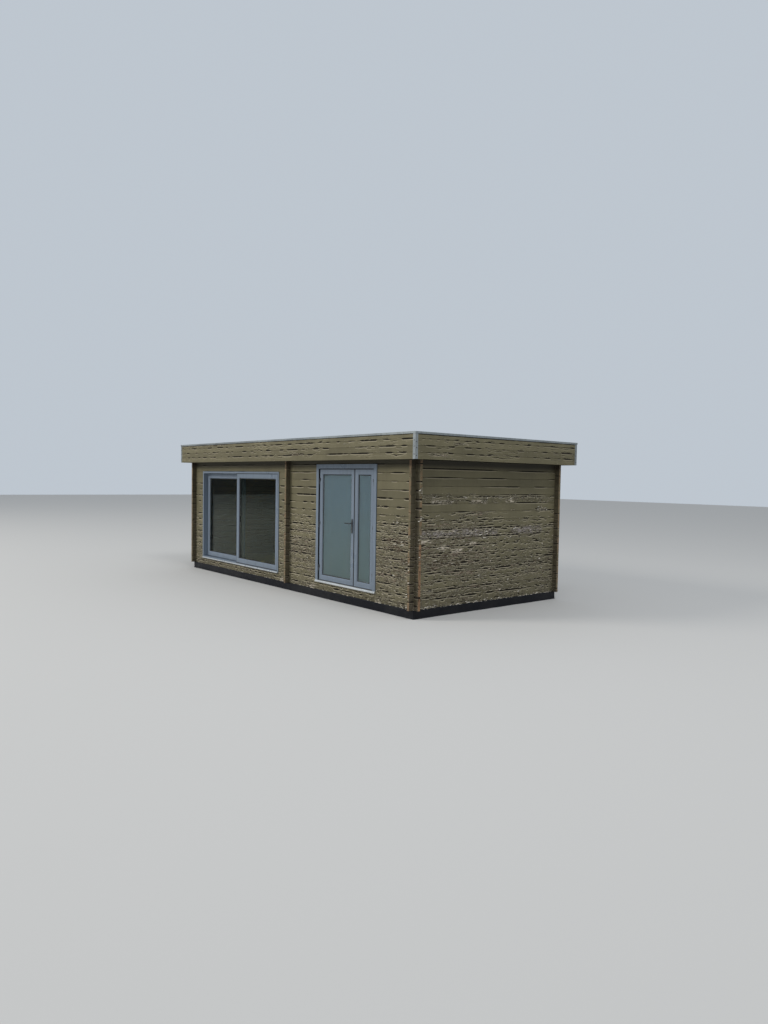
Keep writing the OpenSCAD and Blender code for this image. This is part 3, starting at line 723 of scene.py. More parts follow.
FINISHES = {
    "front_logs": log_paint(
        "front_log_paint", "X", HALF_UP, worn=FRONT_WALL_WORN, pale=FRONT_WALL_PALE,
        bare_to=1.06, gape=1.0, calm=1.62, pace=7.5),
    "rear_logs": log_paint("rear_log_paint", "X", HALF_UP, wear=-0.02),
    "right_logs": log_paint(
        "right_log_paint", "Y", FOOT, wear=0.05, worn=RIGHT_WALL_WORN, grey=RIGHT_WALL_GREY,
        pale=RIGHT_WALL_PALE, gape=0.95, pace=6.0, shaded=0.12, scale_pace=11.0,
        scale_width=0.0105),
    "side_logs": log_paint("side_log_paint", "Y", FOOT, wear=-0.02),
    "long_boards": log_paint("long_board_paint", "X", EDGE_LO.z, BOARD, 0.16, FRONT_EDGE_WORN,
                             gape=0.9, width=0.012, pace=17.0, lip=0.45),
    "end_boards": log_paint("end_board_paint", "Y", EDGE_LO.z, BOARD, 0.18, END_EDGE_WORN,
                            gape=0.9, width=0.0095, pace=20.0, lip=0.3),
    # The soffits' paint is near black: dark paint, darkened further as painted shade under the
    # overhang
    "soffit": coated("soffit_paint", rgb(0.050, 0.044, 0.031), 0.7, rgb(0.02, 0.018, 0.013)),
    "long_timber": plain_timber("sawn_timber_long", "X", RAW_WOOD, RAW_DARK),
    "cross_timber": plain_timber("sawn_timber_cross", "Y", RAW_WOOD, RAW_DARK),
    "floor": plain_timber("floor_board_finish", "X", rgb(0.50, 0.36, 0.19),
                          rgb(0.35, 0.23, 0.11), 0.45),
    "concrete": coated("cast_concrete", rgb(0.30, 0.29, 0.27), 0.85, rgb(0.12, 0.11, 0.09)),
    "sheet": creased_sheet("black_damp_proof_sheet", rgb(0.004, 0.005, 0.009), 0.30, 0.003),
    "rubber": creased_sheet("roof_rubber", rgb(0.028, 0.028, 0.03), 0.6, 0.002),
    "trim": coated("dull_edge_metal", rgb(0.42, 0.46, 0.47), 0.40, METAL_DIRT, 0.7, 0.3),
    "frame": coated("blue_grey_frame", rgb(0.205, 0.255, 0.320), 0.34, rgb(0.10, 0.11, 0.115),
                    0.0, 0.28, sash_seals_and_shade("main_leaf") + sash_seals_and_shade("narrow_leaf")
                    + sash_seals_and_shade("fixed_sash", 0.006)),
    "sill": coated("bright_sill_metal", rgb(0.74, 0.77, 0.78), 0.30, METAL_DIRT, 0.5, 0.2),
    "clear": glass("clear_pane", rgb(0.745, 0.805, 0.735), 0.0, 1.0, 1.16,
                   rgb(0.71, 0.775, 0.73)),
    "frosted": glass("frosted_pane", rgb(0.46, 0.595, 0.61), 0.50, 0.88, 1.45,
                     rgb(0.44, 0.60, 0.69)),
    "gasket": coated("black_gasket", rgb(0.010, 0.010, 0.010), 0.55, rgb(0.05, 0.05, 0.045)),
    "spacer": coated("spacer_bar", rgb(0.5, 0.5, 0.5), 0.3, rgb(0.3, 0.3, 0.3), 0.9, 0.1),
    "handle": brushed("satin_handle_metal", rgb(0.20, 0.21, 0.22), 0.30, rgb(0.06, 0.06, 0.06)),
    "screw": coated("dull_screw", rgb(0.06, 0.055, 0.05), 0.45, rgb(0.14, 0.06, 0.03), 0.6),
    "flake": flake_paint("loose_scale_face", rgb(0.26, 0.235, 0.165), rgb(0.13, 0.115, 0.075)),
    "flake_back": flake_paint("loose_scale_back", rgb(0.68, 0.62, 0.49), rgb(0.42, 0.34, 0.23)),
    "curl_back": flake_paint("large_curl_back", rgb(0.82, 0.78, 0.69), rgb(0.60, 0.53, 0.42)),
}

CAD_FINISHES = {
    "front_logs": ["front_wall_bottom", "front_wall_left", "front_wall_middle",
                   "front_wall_right", "front_wall_over_slider", "front_wall_top"],
    "rear_logs": ["rear_wall"],
    "right_logs": ["right_wall"],
    "side_logs": ["left_wall", "partition_wall"],
    "long_boards": ["front_fascia", "rear_fascia"],
    "end_boards": ["left_fascia", "right_fascia"],
    "soffit": ["long_soffits", "end_soffits"],
    "long_timber": ["floor_bearers", "long_rims", "roof_deck"],
    "cross_timber": ["roof_joists", "end_rims"],
    "floor": ["floor_boards"],
    "concrete": ["base_slab"],
    "sheet": ["base_membrane"],
    "rubber": ["roof_membrane"],
    "trim": ["corner_angles", "long_trims", "end_trims"],
    "sill": ["threshold"],
    "frame": ["slider_frame", "fixed_sash", "sliding_sash", "door_frame", "main_leaf",
              "narrow_leaf"],
    "clear": ["fixed_glass", "sliding_glass"],
    "frosted": ["main_glass", "narrow_glass"],
    "handle": ["slider_handle", "handle_plates", "lever_handle", "frame_hinges", "main_hinges",
               "narrow_hinges"],
}


def dress_cad_nodes():
    for finish, members in CAD_FINISHES.items():
        for member in members:
            slots = nodes[member].data.materials
            for index in range(len(slots)):
                slots[index] = FINISHES[finish]


# Keeping pieces, and making closed shapes

# Air left between a sheet or a pane and what it lies on, and beside a strip or a slab
HAIR, AIR = 0.0002, 0.0003


def on_circle(radius, turn):
    return radius * math.cos(turn), radius * math.sin(turn)


def keep(name, mesh, body, replaced=()):
    """Puts a finished mesh in the scene as a piece that rides on a body."""
    mesh.name = name
    piece = bpy.data.objects.new(name, mesh)
    collection.objects.link(piece)
    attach(piece, body)
    if replaced:
        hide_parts(*replaced)
    return piece


def loft(rings, closed=False, ends=True):
    """Points and faces through rings of as many points, from end to end or closed round."""
    count = len(rings[0])
    points = [point for ring in rings for point in ring]
    faces = []
    for ring in range(len(rings) if closed else len(rings) - 1):
        here, there = ring * count, (ring + 1) % len(rings) * count
        for i in range(count):
            j = (i + 1) % count
            faces.append((here + i, here + j, there + j, there + i))
    if ends and not closed:
        faces += [tuple(range(count)), tuple(range(len(points) - count, len(points)))]
    return points, faces


def bar(start, end, section):
    """A straight bar along x, from the y and z of its section."""
    return loft([[(x, y, z) for y, z in section] for x in (start, end)])


def joined(shapes):
    """Several point and face lists as one."""
    points, faces = [], []
    for more_points, more_faces in shapes:
        start = len(points)
        points += more_points
        faces += [tuple(index + start for index in face) for face in more_faces]
    return points, faces


def solid(shape, *finishes, marks=()):
    """A closed mesh with its faces turned outwards; marks give each face's finish."""
    points, faces = shape
    mesh = bpy.data.meshes.new("solid")
    mesh.from_pydata([tuple(point) for point in points], [], faces)
    for finish in finishes:
        mesh.materials.append(FINISHES[finish])
    for face, mark in zip(mesh.polygons, marks):
        face.material_index = mark
    form = bmesh.new()
    form.from_mesh(mesh)
    bmesh.ops.recalc_face_normals(form, faces=form.faces)
    form.to_mesh(mesh)
    form.free()
    return mesh


# Trees that set out what repeats

FLAKE_T = 0.0007

# How far each kind of scale curls, in radians, and how much narrower its lower edge is
FLAKE_KINDS = ((3.4, 0.5), (2.1, 0.35), (0.9, 0.6))


def named(tree, label, kind="FLOAT"):
    return wire("GeometryNodeInputNamedAttribute", {"Name": label}, tree, data_type=kind)


def chance(tree, low, high, seed, kind="FLOAT"):
    """A random value for each thing, always the same for one seed."""
    node = tree.nodes.new("FunctionNodeRandomValue")
    node.data_type = kind
    ending = {"FLOAT": "_001", "FLOAT_VECTOR": "", "INT": "_002"}[kind]
    sockets = {socket.identifier: socket for socket in node.inputs}
    plug(sockets["Min" + ending], low)
    plug(sockets["Max" + ending], high)
    plug(sockets["Seed"], seed)
    return Signal(next(socket for socket in node.outputs if socket.enabled))


def turned(rotation):
    return wire("FunctionNodeEulerToRotation", {0: rotation})


def together(*shapes):
    """Shapes joined, or instances kept as kinds to pick from."""
    node = tree_of(*shapes).nodes.new("GeometryNodeJoinGeometry")
    for shape in shapes:
        plug(node.inputs[0], shape)
    return Signal(node.outputs[0])


def finished(instances, face, back=None):
    """Ends a tree: realizes what was set out and gives it its material, and its back another."""
    tree = tree_of(instances)
    shape = wire("GeometryNodeRealizeInstances", {"Geometry": instances})
    shape = wire("GeometryNodeSetMaterial", {"Geometry": shape, "Material": face})
    if back:
        shape = wire("GeometryNodeSetMaterial", {
            "Geometry": shape, "Selection": named(tree, "backs", "BOOLEAN"), "Material": back})
    return put_out(tree, {"Geometry": shape}, GEOMETRY)


def curled_scale(length, width, curl, taper):
    """A paint scale stuck down at its upper edge, with its lower edge curling off the wall."""
    sheet = wire("GeometryNodeMeshGrid", {
        "Size X": length, "Size Y": width, "Vertices X": 5, "Vertices Y": 4})["Mesh"]
    x, y = split(source(tree_of(length), "GeometryNodeInputPosition"))[:2]
    down = 0.5 - y / width
    bend = (x / length).scaled(0.9 * curl, curl)
    radius = width / bend
    angle = bend * down
    narrow = (down * down).scaled(-taper, 1.0)
    place = join(x * narrow, radius * calc("SINE", angle) * -1.0,
                 radius * (1.0 - calc("COSINE", angle)))
    curved = wire("GeometryNodeSetPosition", {"Geometry": sheet, "Position": place})
    face = wire("GeometryNodeExtrudeMesh", {
        "Mesh": curved, "Offset Scale": FLAKE_T, "Individual": False}, mode="FACES")["Mesh"]
    back = wire("GeometryNodeStoreNamedAttribute", {
        "Geometry": wire("GeometryNodeFlipFaces", {"Mesh": curved}), "Name": "backs",
        "Value": True}, data_type="BOOLEAN", domain="FACE")
    closed = wire("GeometryNodeMergeByDistance", {
        "Geometry": together(face, back), "Distance": 0.00005})
    return wire("GeometryNodeGeometryToInstance", {0: closed})


def scattered_flakes():
    """Loose paint scales over a seed mesh, as thick as its attribute amount says."""
    tree, given = new_group("scattered_flakes", "GeometryNodeTree", {
        "Geometry": GEOMETRY, "Turn": VECTOR, "Length": 0.03, "Width": 0.009,
        "Upturned": 0.3, "Seed": 1, "Face": MATERIAL, "Back": MATERIAL})
    spots = wire("GeometryNodeDistributePointsOnFaces", {
        "Mesh": given["Geometry"], "Density": named(tree, "amount"), "Seed": given["Seed"]},
        distribute_method="RANDOM")["Points"]
    kinds = together(*(curled_scale(given["Length"], given["Width"], curl, taper)
                       for curl, taper in FLAKE_KINDS))
    upturned = calc("LESS_THAN", chance(tree, 0.0, 1.0, 3), given["Upturned"])
    spin = upturned.scaled(math.pi, chance(tree, -0.22, 0.22, 4))
    lean = join(chance(tree, 0.0, 0.25, 5), chance(tree, -0.15, 0.15, 6), spin)
    turn = wire("FunctionNodeRotateRotation", {
        "Rotation": turned(given["Turn"]), "Rotate By": turned(lean)}, rotation_space="LOCAL")
    size = join(chance(tree, 0.35, 1.5, 7), chance(tree, 0.5, 1.35, 8), chance(tree, 0.5, 1.2, 9))
    placed = wire("GeometryNodeInstanceOnPoints", {
        "Points": spots, "Instance": kinds, "Pick Instance": True,
        "Instance Index": chance(tree, 0, 2, 10, "INT"), "Rotation": turn, "Scale": size})
    return finished(placed, given["Face"], given["Back"])


def set_on_points():
    """One shape on every point of the seed mesh, by the point's attributes turn and size."""
    tree, given = new_group("set_on_points", "GeometryNodeTree", {
        "Geometry": GEOMETRY, "Shape": OBJECT, "Finish": MATERIAL})
    shape = wire("GeometryNodeObjectInfo", {"Object": given["Shape"]})["Geometry"]
    placed = wire("GeometryNodeInstanceOnPoints", {
        "Points": given["Geometry"], "Instance": shape,
        "Rotation": named(tree, "turn", "FLOAT_VECTOR"), "Scale": named(tree, "size")})
    return finished(placed, given["Finish"])


def even_row():
    """The seed shape again and again at an even step, each a little out of line."""
    tree, given = new_group("even_row", "GeometryNodeTree", {
        "Geometry": GEOMETRY, "Count": 10, "Step": VECTOR, "Stray": VECTOR, "Seed": 1,
        "Finish": MATERIAL})
    line = wire("GeometryNodeMeshLine", {"Count": given["Count"], "Offset": given["Step"]})
    minus = wire("ShaderNodeVectorMath", {0: given["Stray"], 1: (-1, -1, -1)},
                 operation="MULTIPLY")
    shift = chance(tree, minus, given["Stray"], given["Seed"], "FLOAT_VECTOR")
    line = wire("GeometryNodeSetPosition", {"Geometry": line, "Offset": shift})
    placed = wire("GeometryNodeInstanceOnPoints", {
        "Points": line, "Instance": given["Geometry"]})
    return finished(placed, given["Finish"])


TREES = {tree.__name__: tree() for tree in (scattered_flakes, set_on_points, even_row)}


def grow(name, seeds, tree, body, slot, replaced=(), **values):
    """Runs a tree on a seed mesh and keeps its result as a plain mesh."""
    seed = bpy.data.objects.new(name + "_seeds", seeds)
    collection.objects.link(seed)
    modifier = seed.modifiers.new("set_out", "NODES")
    modifier.node_group = TREES[tree]
    for item in modifier.node_group.interface.items_tree:
        if item.in_out == "INPUT" and item.name in values:
            modifier[item.identifier] = values[item.name]
    graph = bpy.context.evaluated_depsgraph_get()
    mesh = bpy.data.meshes.new_from_object(seed.evaluated_get(graph), depsgraph=graph)
    seed.modifiers.remove(modifier)
    bpy.data.objects.remove(seed)
    for label in ("backs", "turn", "size", "amount"):
        if label in mesh.attributes:
            mesh.attributes.remove(mesh.attributes[label])
    keep(name, mesh, body, replaced)


# Loose paint scales. Each strip is a stretch along a wall, its heights and its scales a metre.

# The axis that a wall runs along, how far out its face is, and its turn about the upright
Wall = namedtuple("Wall", "axis out turn")
WALLS = {
    "front": Wall("X", -FRONT, 0),
    "rear": Wall("X", FRONT, math.pi),
    "right": Wall("Y", SIDE, QUARTER),
    "left": Wall("Y", -SIDE, -QUARTER),
    "front_edge": Wall("X", EDGE_LO.y, 0),
    "right_edge": Wall("Y", END_HI.x, QUARTER),
    "front_log_ends": Wall("Y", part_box("front_wall_bottom")[1].x, QUARTER),
    "right_log_ends": Wall("X", -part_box("right_wall")[1].y, 0),
}


def patch_field(patches):
    """The seed mesh of some scales: rectangles, each with its scales a square metre."""
    points = [corner for corners, amount in patches for corner in corners]
    faces = [tuple(range(start, start + 4)) for start in range(0, len(points), 4)]
    mesh = bpy.data.meshes.new("field")
    mesh.from_pydata(points, [], faces)
    mesh.attributes.new("amount", "FLOAT", "FACE").data.foreach_set(
        "value", [amount for corners, amount in patches])
    return mesh


def scatter(name, field, turn, length, width, seed, upturned=0.3, slot="log_paint",
            face="flake", back="flake_back"):
    """Sets out loose scales over a field, as a piece of the building."""
    grow(name, field, "scattered_flakes", "building", slot, Turn=turn, Length=length,
         Width=width, Upturned=upturned, Seed=seed, Face=FINISHES[face], Back=FINISHES[back])


def scatter_on_wall(name, wall, strips, length, width, seed, **others):
    """Sets out loose scales over strips of a wall."""
    axis, out, turn = WALLS[wall]
    patches = []
    for low, high, bottom, top, per_metre in strips:
        corners = [(low, bottom), (high, bottom), (high, top), (low, top)]
        corners = [(along, out, up) if axis == "X" else (out, along, up) for along, up in corners]
        patches.append((corners, per_metre / (top - bottom)))
    scatter(name, patch_field(patches), (QUARTER, 0, turn), length, width, seed, **others)


def seam_strips(draw, ends, first, cover, rows, amount):
    """Strips just above each seam, in runs of changing thickness of scales."""
    strips = []
    for row in range(rows):
        seam = first + row * cover
        along = ends[0]
        while along < ends[1]:
            run = draw.uniform(0.08, 0.35)
            wanted = amount(seam) * draw.choice((0.0, 0.5, 1.0, 2.2))
            if wanted > 0:
                strips.append((along, min(along + run, ends[1]), seam + 0.008, seam + 0.016,
                               wanted))
            along += run
    return strips


def face_strips(ends, first, rows, amount):
    """One strip over the face of each log, clear of its seams."""
    strips = []
    for row in range(rows):
        seam = first + row * COURSE
        strips.append((ends[0], ends[1], seam + 0.02, first + (row + 1) * COURSE - 0.012,
                       amount(first + (row + 0.5) * COURSE)))
    return strips


def front_wall_strips(draw):
    strips = []
    for part, strength in (("left", 0.7), ("middle", 1.0), ("right", 1.7)):
        lo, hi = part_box("front_wall_" + part)
        ends = (max(lo.x, -SIDE + LOG_T), min(hi.x, SIDE - LOG_T))
        strips += seam_strips(draw, ends, HALF_UP, COURSE, 16,
                              lambda up: 16 * strength * smoothstep(1.75, 0.85, up))
        strips += face_strips(ends, HALF_UP, 14,
                              lambda up: 9 * strength * smoothstep(1.60, 0.55, up))
    return strips + [(2.72, 3.40, 0.95, 1.10, 26), (2.95, 3.20, 0.70, 0.84, 22),
                     (3.10, 3.40, 0.5, 0.66, 22), (3.09, 3.16, 1.30, 1.35, 60),
                     (0.30, 0.95, 0.45, 0.62, 12)]


def right_wall_strips(draw):
    def at_seam(up):
        return (22 if 1.60 < up < 1.80 else 0) + 15 * smoothstep(1.60, 1.1, up)

    def on_face(up):
        return (40 if 1.62 < up < 1.76 else 0) + 14 * smoothstep(1.62, 1.0, up)

    ends = (-FRONT + 0.01, FRONT - 0.01)
    strips = seam_strips(draw, ends, FOOT, COURSE, 17, at_seam)
    strips += face_strips(ends, FOOT, 13, on_face)
    return strips + [(-1.45, 0.13, 1.135, 1.24, 55), (0.48, 1.21, 1.135, 1.24, 55),
                     (-1.5, -0.1, 0.72, 1.48, 75), (1.10, 1.32, 1.47, 1.55, 50),
                     (-1.29, -0.89, 1.632, 1.655, 60), (-0.47, -0.11, 1.632, 1.655, 60)]


def build_flakes():
    draw = random.Random(41)
    scatter_on_wall("front_wall_flakes", "front", front_wall_strips(draw),
                    length=0.046, width=0.016, seed=5)
    scatter_on_wall("right_wall_flakes", "right", right_wall_strips(draw),
                    length=0.044, width=0.015, seed=6)
    for wall, first, reach, seed in (("left", FOOT, FRONT, 7), ("rear", HALF_UP, SIDE, 8)):
        strips = seam_strips(draw, (-reach + 0.01, reach - 0.01), first, COURSE, 16,
                             lambda up: 5 * smoothstep(1.7, 0.7, up))
        scatter_on_wall(wall + "_wall_flakes", wall, strips, length=0.040, width=0.014, seed=seed)

    strips = seam_strips(draw, (-3.70, 3.66), EDGE_LO.z, BOARD, 4, lambda up: 3.0)
    strips += [(-3.66, -1.70, 2.56, 2.578, 30), (-0.72, -0.60, 2.39, 2.41, 60),
               (0.02, 0.18, 2.46, 2.48, 60), (-0.36, -0.24, 2.49, 2.51, 60),
               (0.92, 1.08, 2.42, 2.44, 60), (0.62, 0.76, 2.37, 2.39, 60),
               (2.10, 2.26, 2.48, 2.50, 60)]
    scatter_on_wall("front_fascia_flakes", "front_edge", strips, length=0.030, width=0.0060,
                    seed=9, slot="fascia_paint")
    strips = seam_strips(draw, (-1.74, 1.74), EDGE_LO.z, BOARD, 4, lambda up: 9.0)
    strips += [(-1.02, -0.90, 2.47, 2.49, 110), (-1.53, -1.23, 2.30, 2.32, 70),
               (1.30, 1.44, 2.31, 2.33, 60), (0.25, 1.55, 2.36, 2.50, 16)]
    scatter_on_wall("right_fascia_flakes", "right_edge", strips, length=0.030, width=0.0060,
                    seed=10, slot="fascia_paint")


def build_fallen_flakes():
    """Scales that have dropped onto the ledge of the base in front of the logs."""
    outer, inner = SKIRT_LO.y + 0.003, -FRONT - 0.001
    patches = []
    for low, high, per_metre in ((-3.50, 3.50, 12), (-0.06, 0.10, 160), (0.94, 1.06, 160),
                                 (2.67, 2.80, 220), (3.40, 3.52, 420)):
        corners = [(low, outer, FOOT), (high, outer, FOOT), (high, inner, FOOT),
                   (low, inner, FOOT)]
        patches.append((corners, per_metre / (inner - outer)))
    inner, outer = SIDE + 0.001, SKIRT_HI.x - 0.003
    corners = [(inner, -1.5, FOOT), (outer, -1.5, FOOT), (outer, 1.5, FOOT), (inner, 1.5, FOOT)]
    patches.append((corners, 30 / (outer - inner)))
    scatter("fallen_flakes", patch_field(patches), turn=(0.25, 0, 0), length=0.026,
            width=0.011, seed=11, upturned=0.7, face="curl_back")


def build_large_curls():
    """The few large scales that have curled right over, cream side out."""
    front = [(3.08, 3.20, 1.29, 1.37, 45), (2.88, 3.30, 0.96, 1.08, 16),
             (3.0, 3.4, 0.72, 0.84, 16), (3.05, 3.45, 0.52, 0.60, 16),
             (2.80, 3.10, 0.60, 0.72, 12), (2.80, 3.45, 0.25, 0.50, 6),
             (0.15, 0.95, 0.45, 0.85, 8), (3.26, 3.50, 0.130, 0.155, 80),
             (2.70, 2.80, 0.132, 0.170, 50), (0.93, 1.07, 0.132, 0.165, 30)]
    right = [(-1.29, -0.85, 1.630, 1.660, 24), (-0.47, -0.10, 1.630, 1.660, 24),
             (-1.60, 1.50, 1.690, 1.735, 8), (-1.45, 0.13, 1.135, 1.24, 22),
             (0.48, 1.21, 1.135, 1.24, 22), (1.05, 1.35, 1.47, 1.55, 24),
             (-1.5, 1.4, 0.70, 1.10, 10), (-1.5, 1.4, 0.20, 0.70, 5),
             (-1.56, -1.10, 0.130, 0.150, 60), (-1.10, 1.50, 0.130, 0.145, 10)]
    front_ends = [(-FRONT, -FRONT + LOG_T, bottom, top, per_metre)
                  for bottom, top, per_metre in ((1.74, 1.84, 260), (1.38, 1.45, 150),
                                                 (1.12, 1.19, 200), (0.5, 1.0, 130))]
    right_ends = [(SIDE - LOG_T, SIDE, 1.05, 1.20, 130), (SIDE - LOG_T, SIDE, 0.3, 1.0, 90)]
    edge = [(2.10, 2.26, 2.478, 2.500, 40), (0.62, 0.76, 2.37, 2.39, 30),
            (-0.72, -0.60, 2.39, 2.41, 30), (-3.6, -1.9, 2.56, 2.578, 9)]
    for name, wall, strips, length, width, upturned, seed, slot in (
            ("front_wall_large_curls", "front", front, 0.085, 0.030, 0.8, 15, "log_paint"),
            ("right_wall_large_curls", "right", right, 0.080, 0.026, 0.8, 16, "log_paint"),
            ("front_log_ends_flakes", "front_log_ends", front_ends, 0.050, 0.020, 0.7, 18,
             "log_paint"),
            ("right_log_ends_flakes", "right_log_ends", right_ends, 0.050, 0.020, 0.7, 18,
             "log_paint"),
            ("front_fascia_large_curls", "front_edge", edge, 0.073, 0.0060, 0.2, 17,
             "fascia_paint")):
        scatter_on_wall(name, wall, strips, length, width, seed, upturned=upturned, slot=slot,
                        back="curl_back")


# Glazed units, their spacer bars and seals

PANE_T = 0.004
ARRIS = 0.0008
POCKET = 0.012

UNITS = [("fixed", "building", "clear"), ("sliding", "sliding_door", "clear"),
         ("main", "main_door", "frosted"), ("narrow", "narrow_door", "frosted")]


def inset_corners(lo, hi, inset, y):
    """The corners of an upright rectangle, a little way in from the edges of a box."""
    return [(lo.x + inset, y, lo.z + inset), (hi.x - inset, y, lo.z + inset),
            (hi.x - inset, y, hi.z - inset), (lo.x + inset, y, hi.z - inset)]


def mitred_ring(lo, hi, section):
    """A closed ring round an opening: the section gives how far in and which y."""
    lines = [inset_corners(lo, hi, inset, y) for inset, y in section]
    return loft(list(zip(*lines)), closed=True)


def arrised_pane(lo, hi, near, far):
    """One sheet of glass with ground edges."""
    return loft([inset_corners(lo, hi, inset, y) for inset, y in (
        (ARRIS, near), (0, near + ARRIS), (0, far - ARRIS), (ARRIS, far))])


def build_glazing():
    for name, body, finish in UNITS:
        lo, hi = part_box(name + "_glass")
        panes = joined([arrised_pane(lo, hi, lo.y, lo.y + PANE_T),
                        arrised_pane(lo, hi, hi.y - PANE_T, hi.y)])
        keep(name + "_panes", solid(panes, finish), body,
             (name + "_glass",))
        near, far = lo.y + PANE_T + HAIR, hi.y - PANE_T - HAIR
        spacer = [(0.006, near), (0.006, far), (0.0135, far), (0.0135, far - 0.004),
                  (0.0125, far - 0.005), (0.0125, near + 0.005), (0.0135, near + 0.004),
                  (0.0135, near)]
        keep(name + "_spacer", solid(mitred_ring(lo, hi, spacer), "spacer"), body)
        wedge = [(0.0, HAIR), (0.0120, HAIR), (0.0105, 0.0020), (0.0050, 0.0050), (0.0, 0.0065)]
        sides = [mitred_ring(lo, hi, [(POCKET + inset, face + away * depth)
                                      for inset, depth in wedge])
                 for face, away in ((lo.y, -1), (hi.y, 1))]
        keep(name + "_gaskets", solid(joined(sides), "gasket"), body)


# The damp-proof sheet over the base

# The rounding of the sheet's corners, the step between its points and the heights of its rings
CORNER_R = 0.012
CREASE_STEP = 0.022
SHEET_LEVELS = [0.0, 0.010, 0.024, 0.038, 0.052, 0.066, 0.080, 0.094, 0.107, 0.117]


def waves(along, up, size, seed):
    return noise_at(Vector((along * size[0], up * size[1], seed)))


def sheet_corners():
    """The middles of the four rounded corners, and where each one's arc starts."""
    x, y = SKIRT_HI.x - CORNER_R, SKIRT_HI.y - CORNER_R
    return [(Vector((x, -y)), -QUARTER), (Vector((x, y)), 0), (Vector((-x, y)), QUARTER),
            (Vector((-x, -y)), math.pi)]


def sheet_rim():
    """Points round the base with the way out at each: arcs at the corners, small steps between."""
    outline = []
    for centre, start in sheet_corners():
        for i in range(6):
            turn = start + QUARTER * i / 5
            out = Vector(on_circle(1, turn))
            outline.append((centre + out * CORNER_R, out))
    rim = []
    for (a, out_a), (b, out_b) in zip(outline, outline[1:] + outline[:1]):
        parts = max(1, round((b - a).length / CREASE_STEP))
        rim += [(a.lerp(b, i / parts), out_a.lerp(out_b, i / parts).normalized())
                for i in range(parts)]
    return rim


def sheet_bulge(run, height, corner):
    """How far the sheet stands off the base: folds, creases, gathers at a corner and its foot."""
    fold = waves(run, height, (2.2, 34), 3.0) * 0.0035
    crease = abs(waves(run + height * 2.5, height, (9, 22), 9.0)) * 0.005
    gather = abs(waves(run, 0.0, (55, 1), 5.0)) * 0.006 * corner
    foot = smoothstep(0.03, 0.0, height) * (0.005 + 0.006 * waves(run, 0, (3, 1), 1.0))
    return max(HAIR, 0.0022 + fold + crease + gather + foot)


def build_skirt():
    """The sheet drawn over the base and down its edge, creased and bunched at the corners."""
    rim = sheet_rim()
    runs = [0.0]
    for (a, out_a), (b, out_b) in zip(rim, rim[1:]):
        runs.append(runs[-1] + (b - a).length)
    near_corner = [smoothstep(0.16, 0.02, min((at - centre).length
                                              for centre, start in sheet_corners()))
                   for at, out in rim]

    def ring(shift, height):
        return [(at.x + out.x * shift, at.y + out.y * shift, height) for at, out in rim]

    # How far the sheet reaches in over the base, how far it bends in there, and its thickness
    tuck, bend, thick = 0.022, 0.008, 0.0047
    slab_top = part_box("base_slab")[1].z + AIR
    top = SKIRT_HI.z
    rings = [ring(-tuck, slab_top), ring(-thick, slab_top), ring(-thick, 0.0)]
    for height in SHEET_LEVELS:
        shifts = [sheet_bulge(run, height, corner) for run, corner in zip(runs, near_corner)]
        rings.append([(at.x + out.x * shift, at.y + out.y * shift, height)
                      for (at, out), shift in zip(rim, shifts)])
    rings.append([(x, y, z + min(0.0010 * waves(run, 0.0, (12, 1), 12.0), 0.0))
                  for (x, y, z), run in zip(ring(-0.001, top - 0.0012), runs)])
    rings += [ring(-bend, top - HAIR), ring(-tuck, top - HAIR)]
    skirt = keep("creased_damp_proof_sheet", solid(loft(rings), "sheet"), "building",
                 ("base_membrane",))
    for face in skirt.data.polygons:
        face.use_smooth = len(face.vertices) == 4


# Boards, fixings and small fittings

FLOOR_BOARDS = 32


def build_floor_boards():
    lo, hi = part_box("floor_boards")
    wall_lo, wall_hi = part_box("partition_wall")
    edge = SIDE - LOG_T - hi.x
    cover = (hi.y - lo.y) / FLOOR_BOARDS
    gap, chamfer = 0.0006, 0.0018
    section = [(lo.y, lo.z), (lo.y + cover - gap, lo.z), (lo.y + cover - gap, hi.z - chamfer),
               (lo.y + cover - gap - chamfer, hi.z), (lo.y + chamfer, hi.z),
               (lo.y, hi.z - chamfer)]
    rooms = [("left_room_floor", lo.x, wall_lo.x - edge, ("floor_boards",)),
             ("right_room_floor", wall_hi.x + edge, hi.x, ())]
    for index, (name, start, end, replaced) in enumerate(rooms):
        grow(name, solid(bar(start, end, section), "floor"), "even_row", "building",
             "floor_timber", replaced, Count=FLOOR_BOARDS, Step=(0, cover, 0),
             Stray=(0, 0, 0.0004), Seed=21 + index, Finish=FINISHES["floor"])


def screw_head():
    """A pan head with a cross recess, on its origin and facing up, 1 across."""
    around = 12
    turns = [2 * math.pi * i / around for i in range(around)]
    rings = [[(*on_circle(radius, turn), height) for turn in turns]
             for radius, height in ((0.5, 0.0), (0.48, 0.12), (0.36, 0.20), (0.27, 0.21))]
    recess = [0.22 if i % 3 == 0 else 0.08 for i in range(around)]
    rings.append([(*on_circle(radius, turn), 0.08) for radius, turn in zip(recess, turns)])
    points, faces = loft(rings, ends=False)
    last, middle = len(points) - around, len(points)
    for i in range(around):
        j = (i + 1) % around
        faces += [(last + i, last + j, middle), (j, i, middle + 1)]
    head = solid((points + [(0, 0, 0.06), (0, 0, 0)], faces), "screw")
    return bpy.data.objects.new("screw_head_pattern", head)


def set_fixings(name, head, body, places, size, finish="screw"):
    """Screws at places, each with the way that it faces."""
    mesh = bpy.data.meshes.new(name + "_points")
    mesh.from_pydata([place for place, facing in places], [], [])
    turns = [Vector(facing).to_track_quat("Z", "Y").to_euler() for place, facing in places]
    turn = mesh.attributes.new("turn", "FLOAT_VECTOR", "POINT")
    turn.data.foreach_set("vector", [value for one in turns for value in one])
    sizes = mesh.attributes.new("size", "FLOAT", "POINT")
    sizes.data.foreach_set("value", [size] * len(places))
    grow(name, mesh, "set_on_points", body, "handle_metal", Shape=head, Finish=FINISHES[finish])


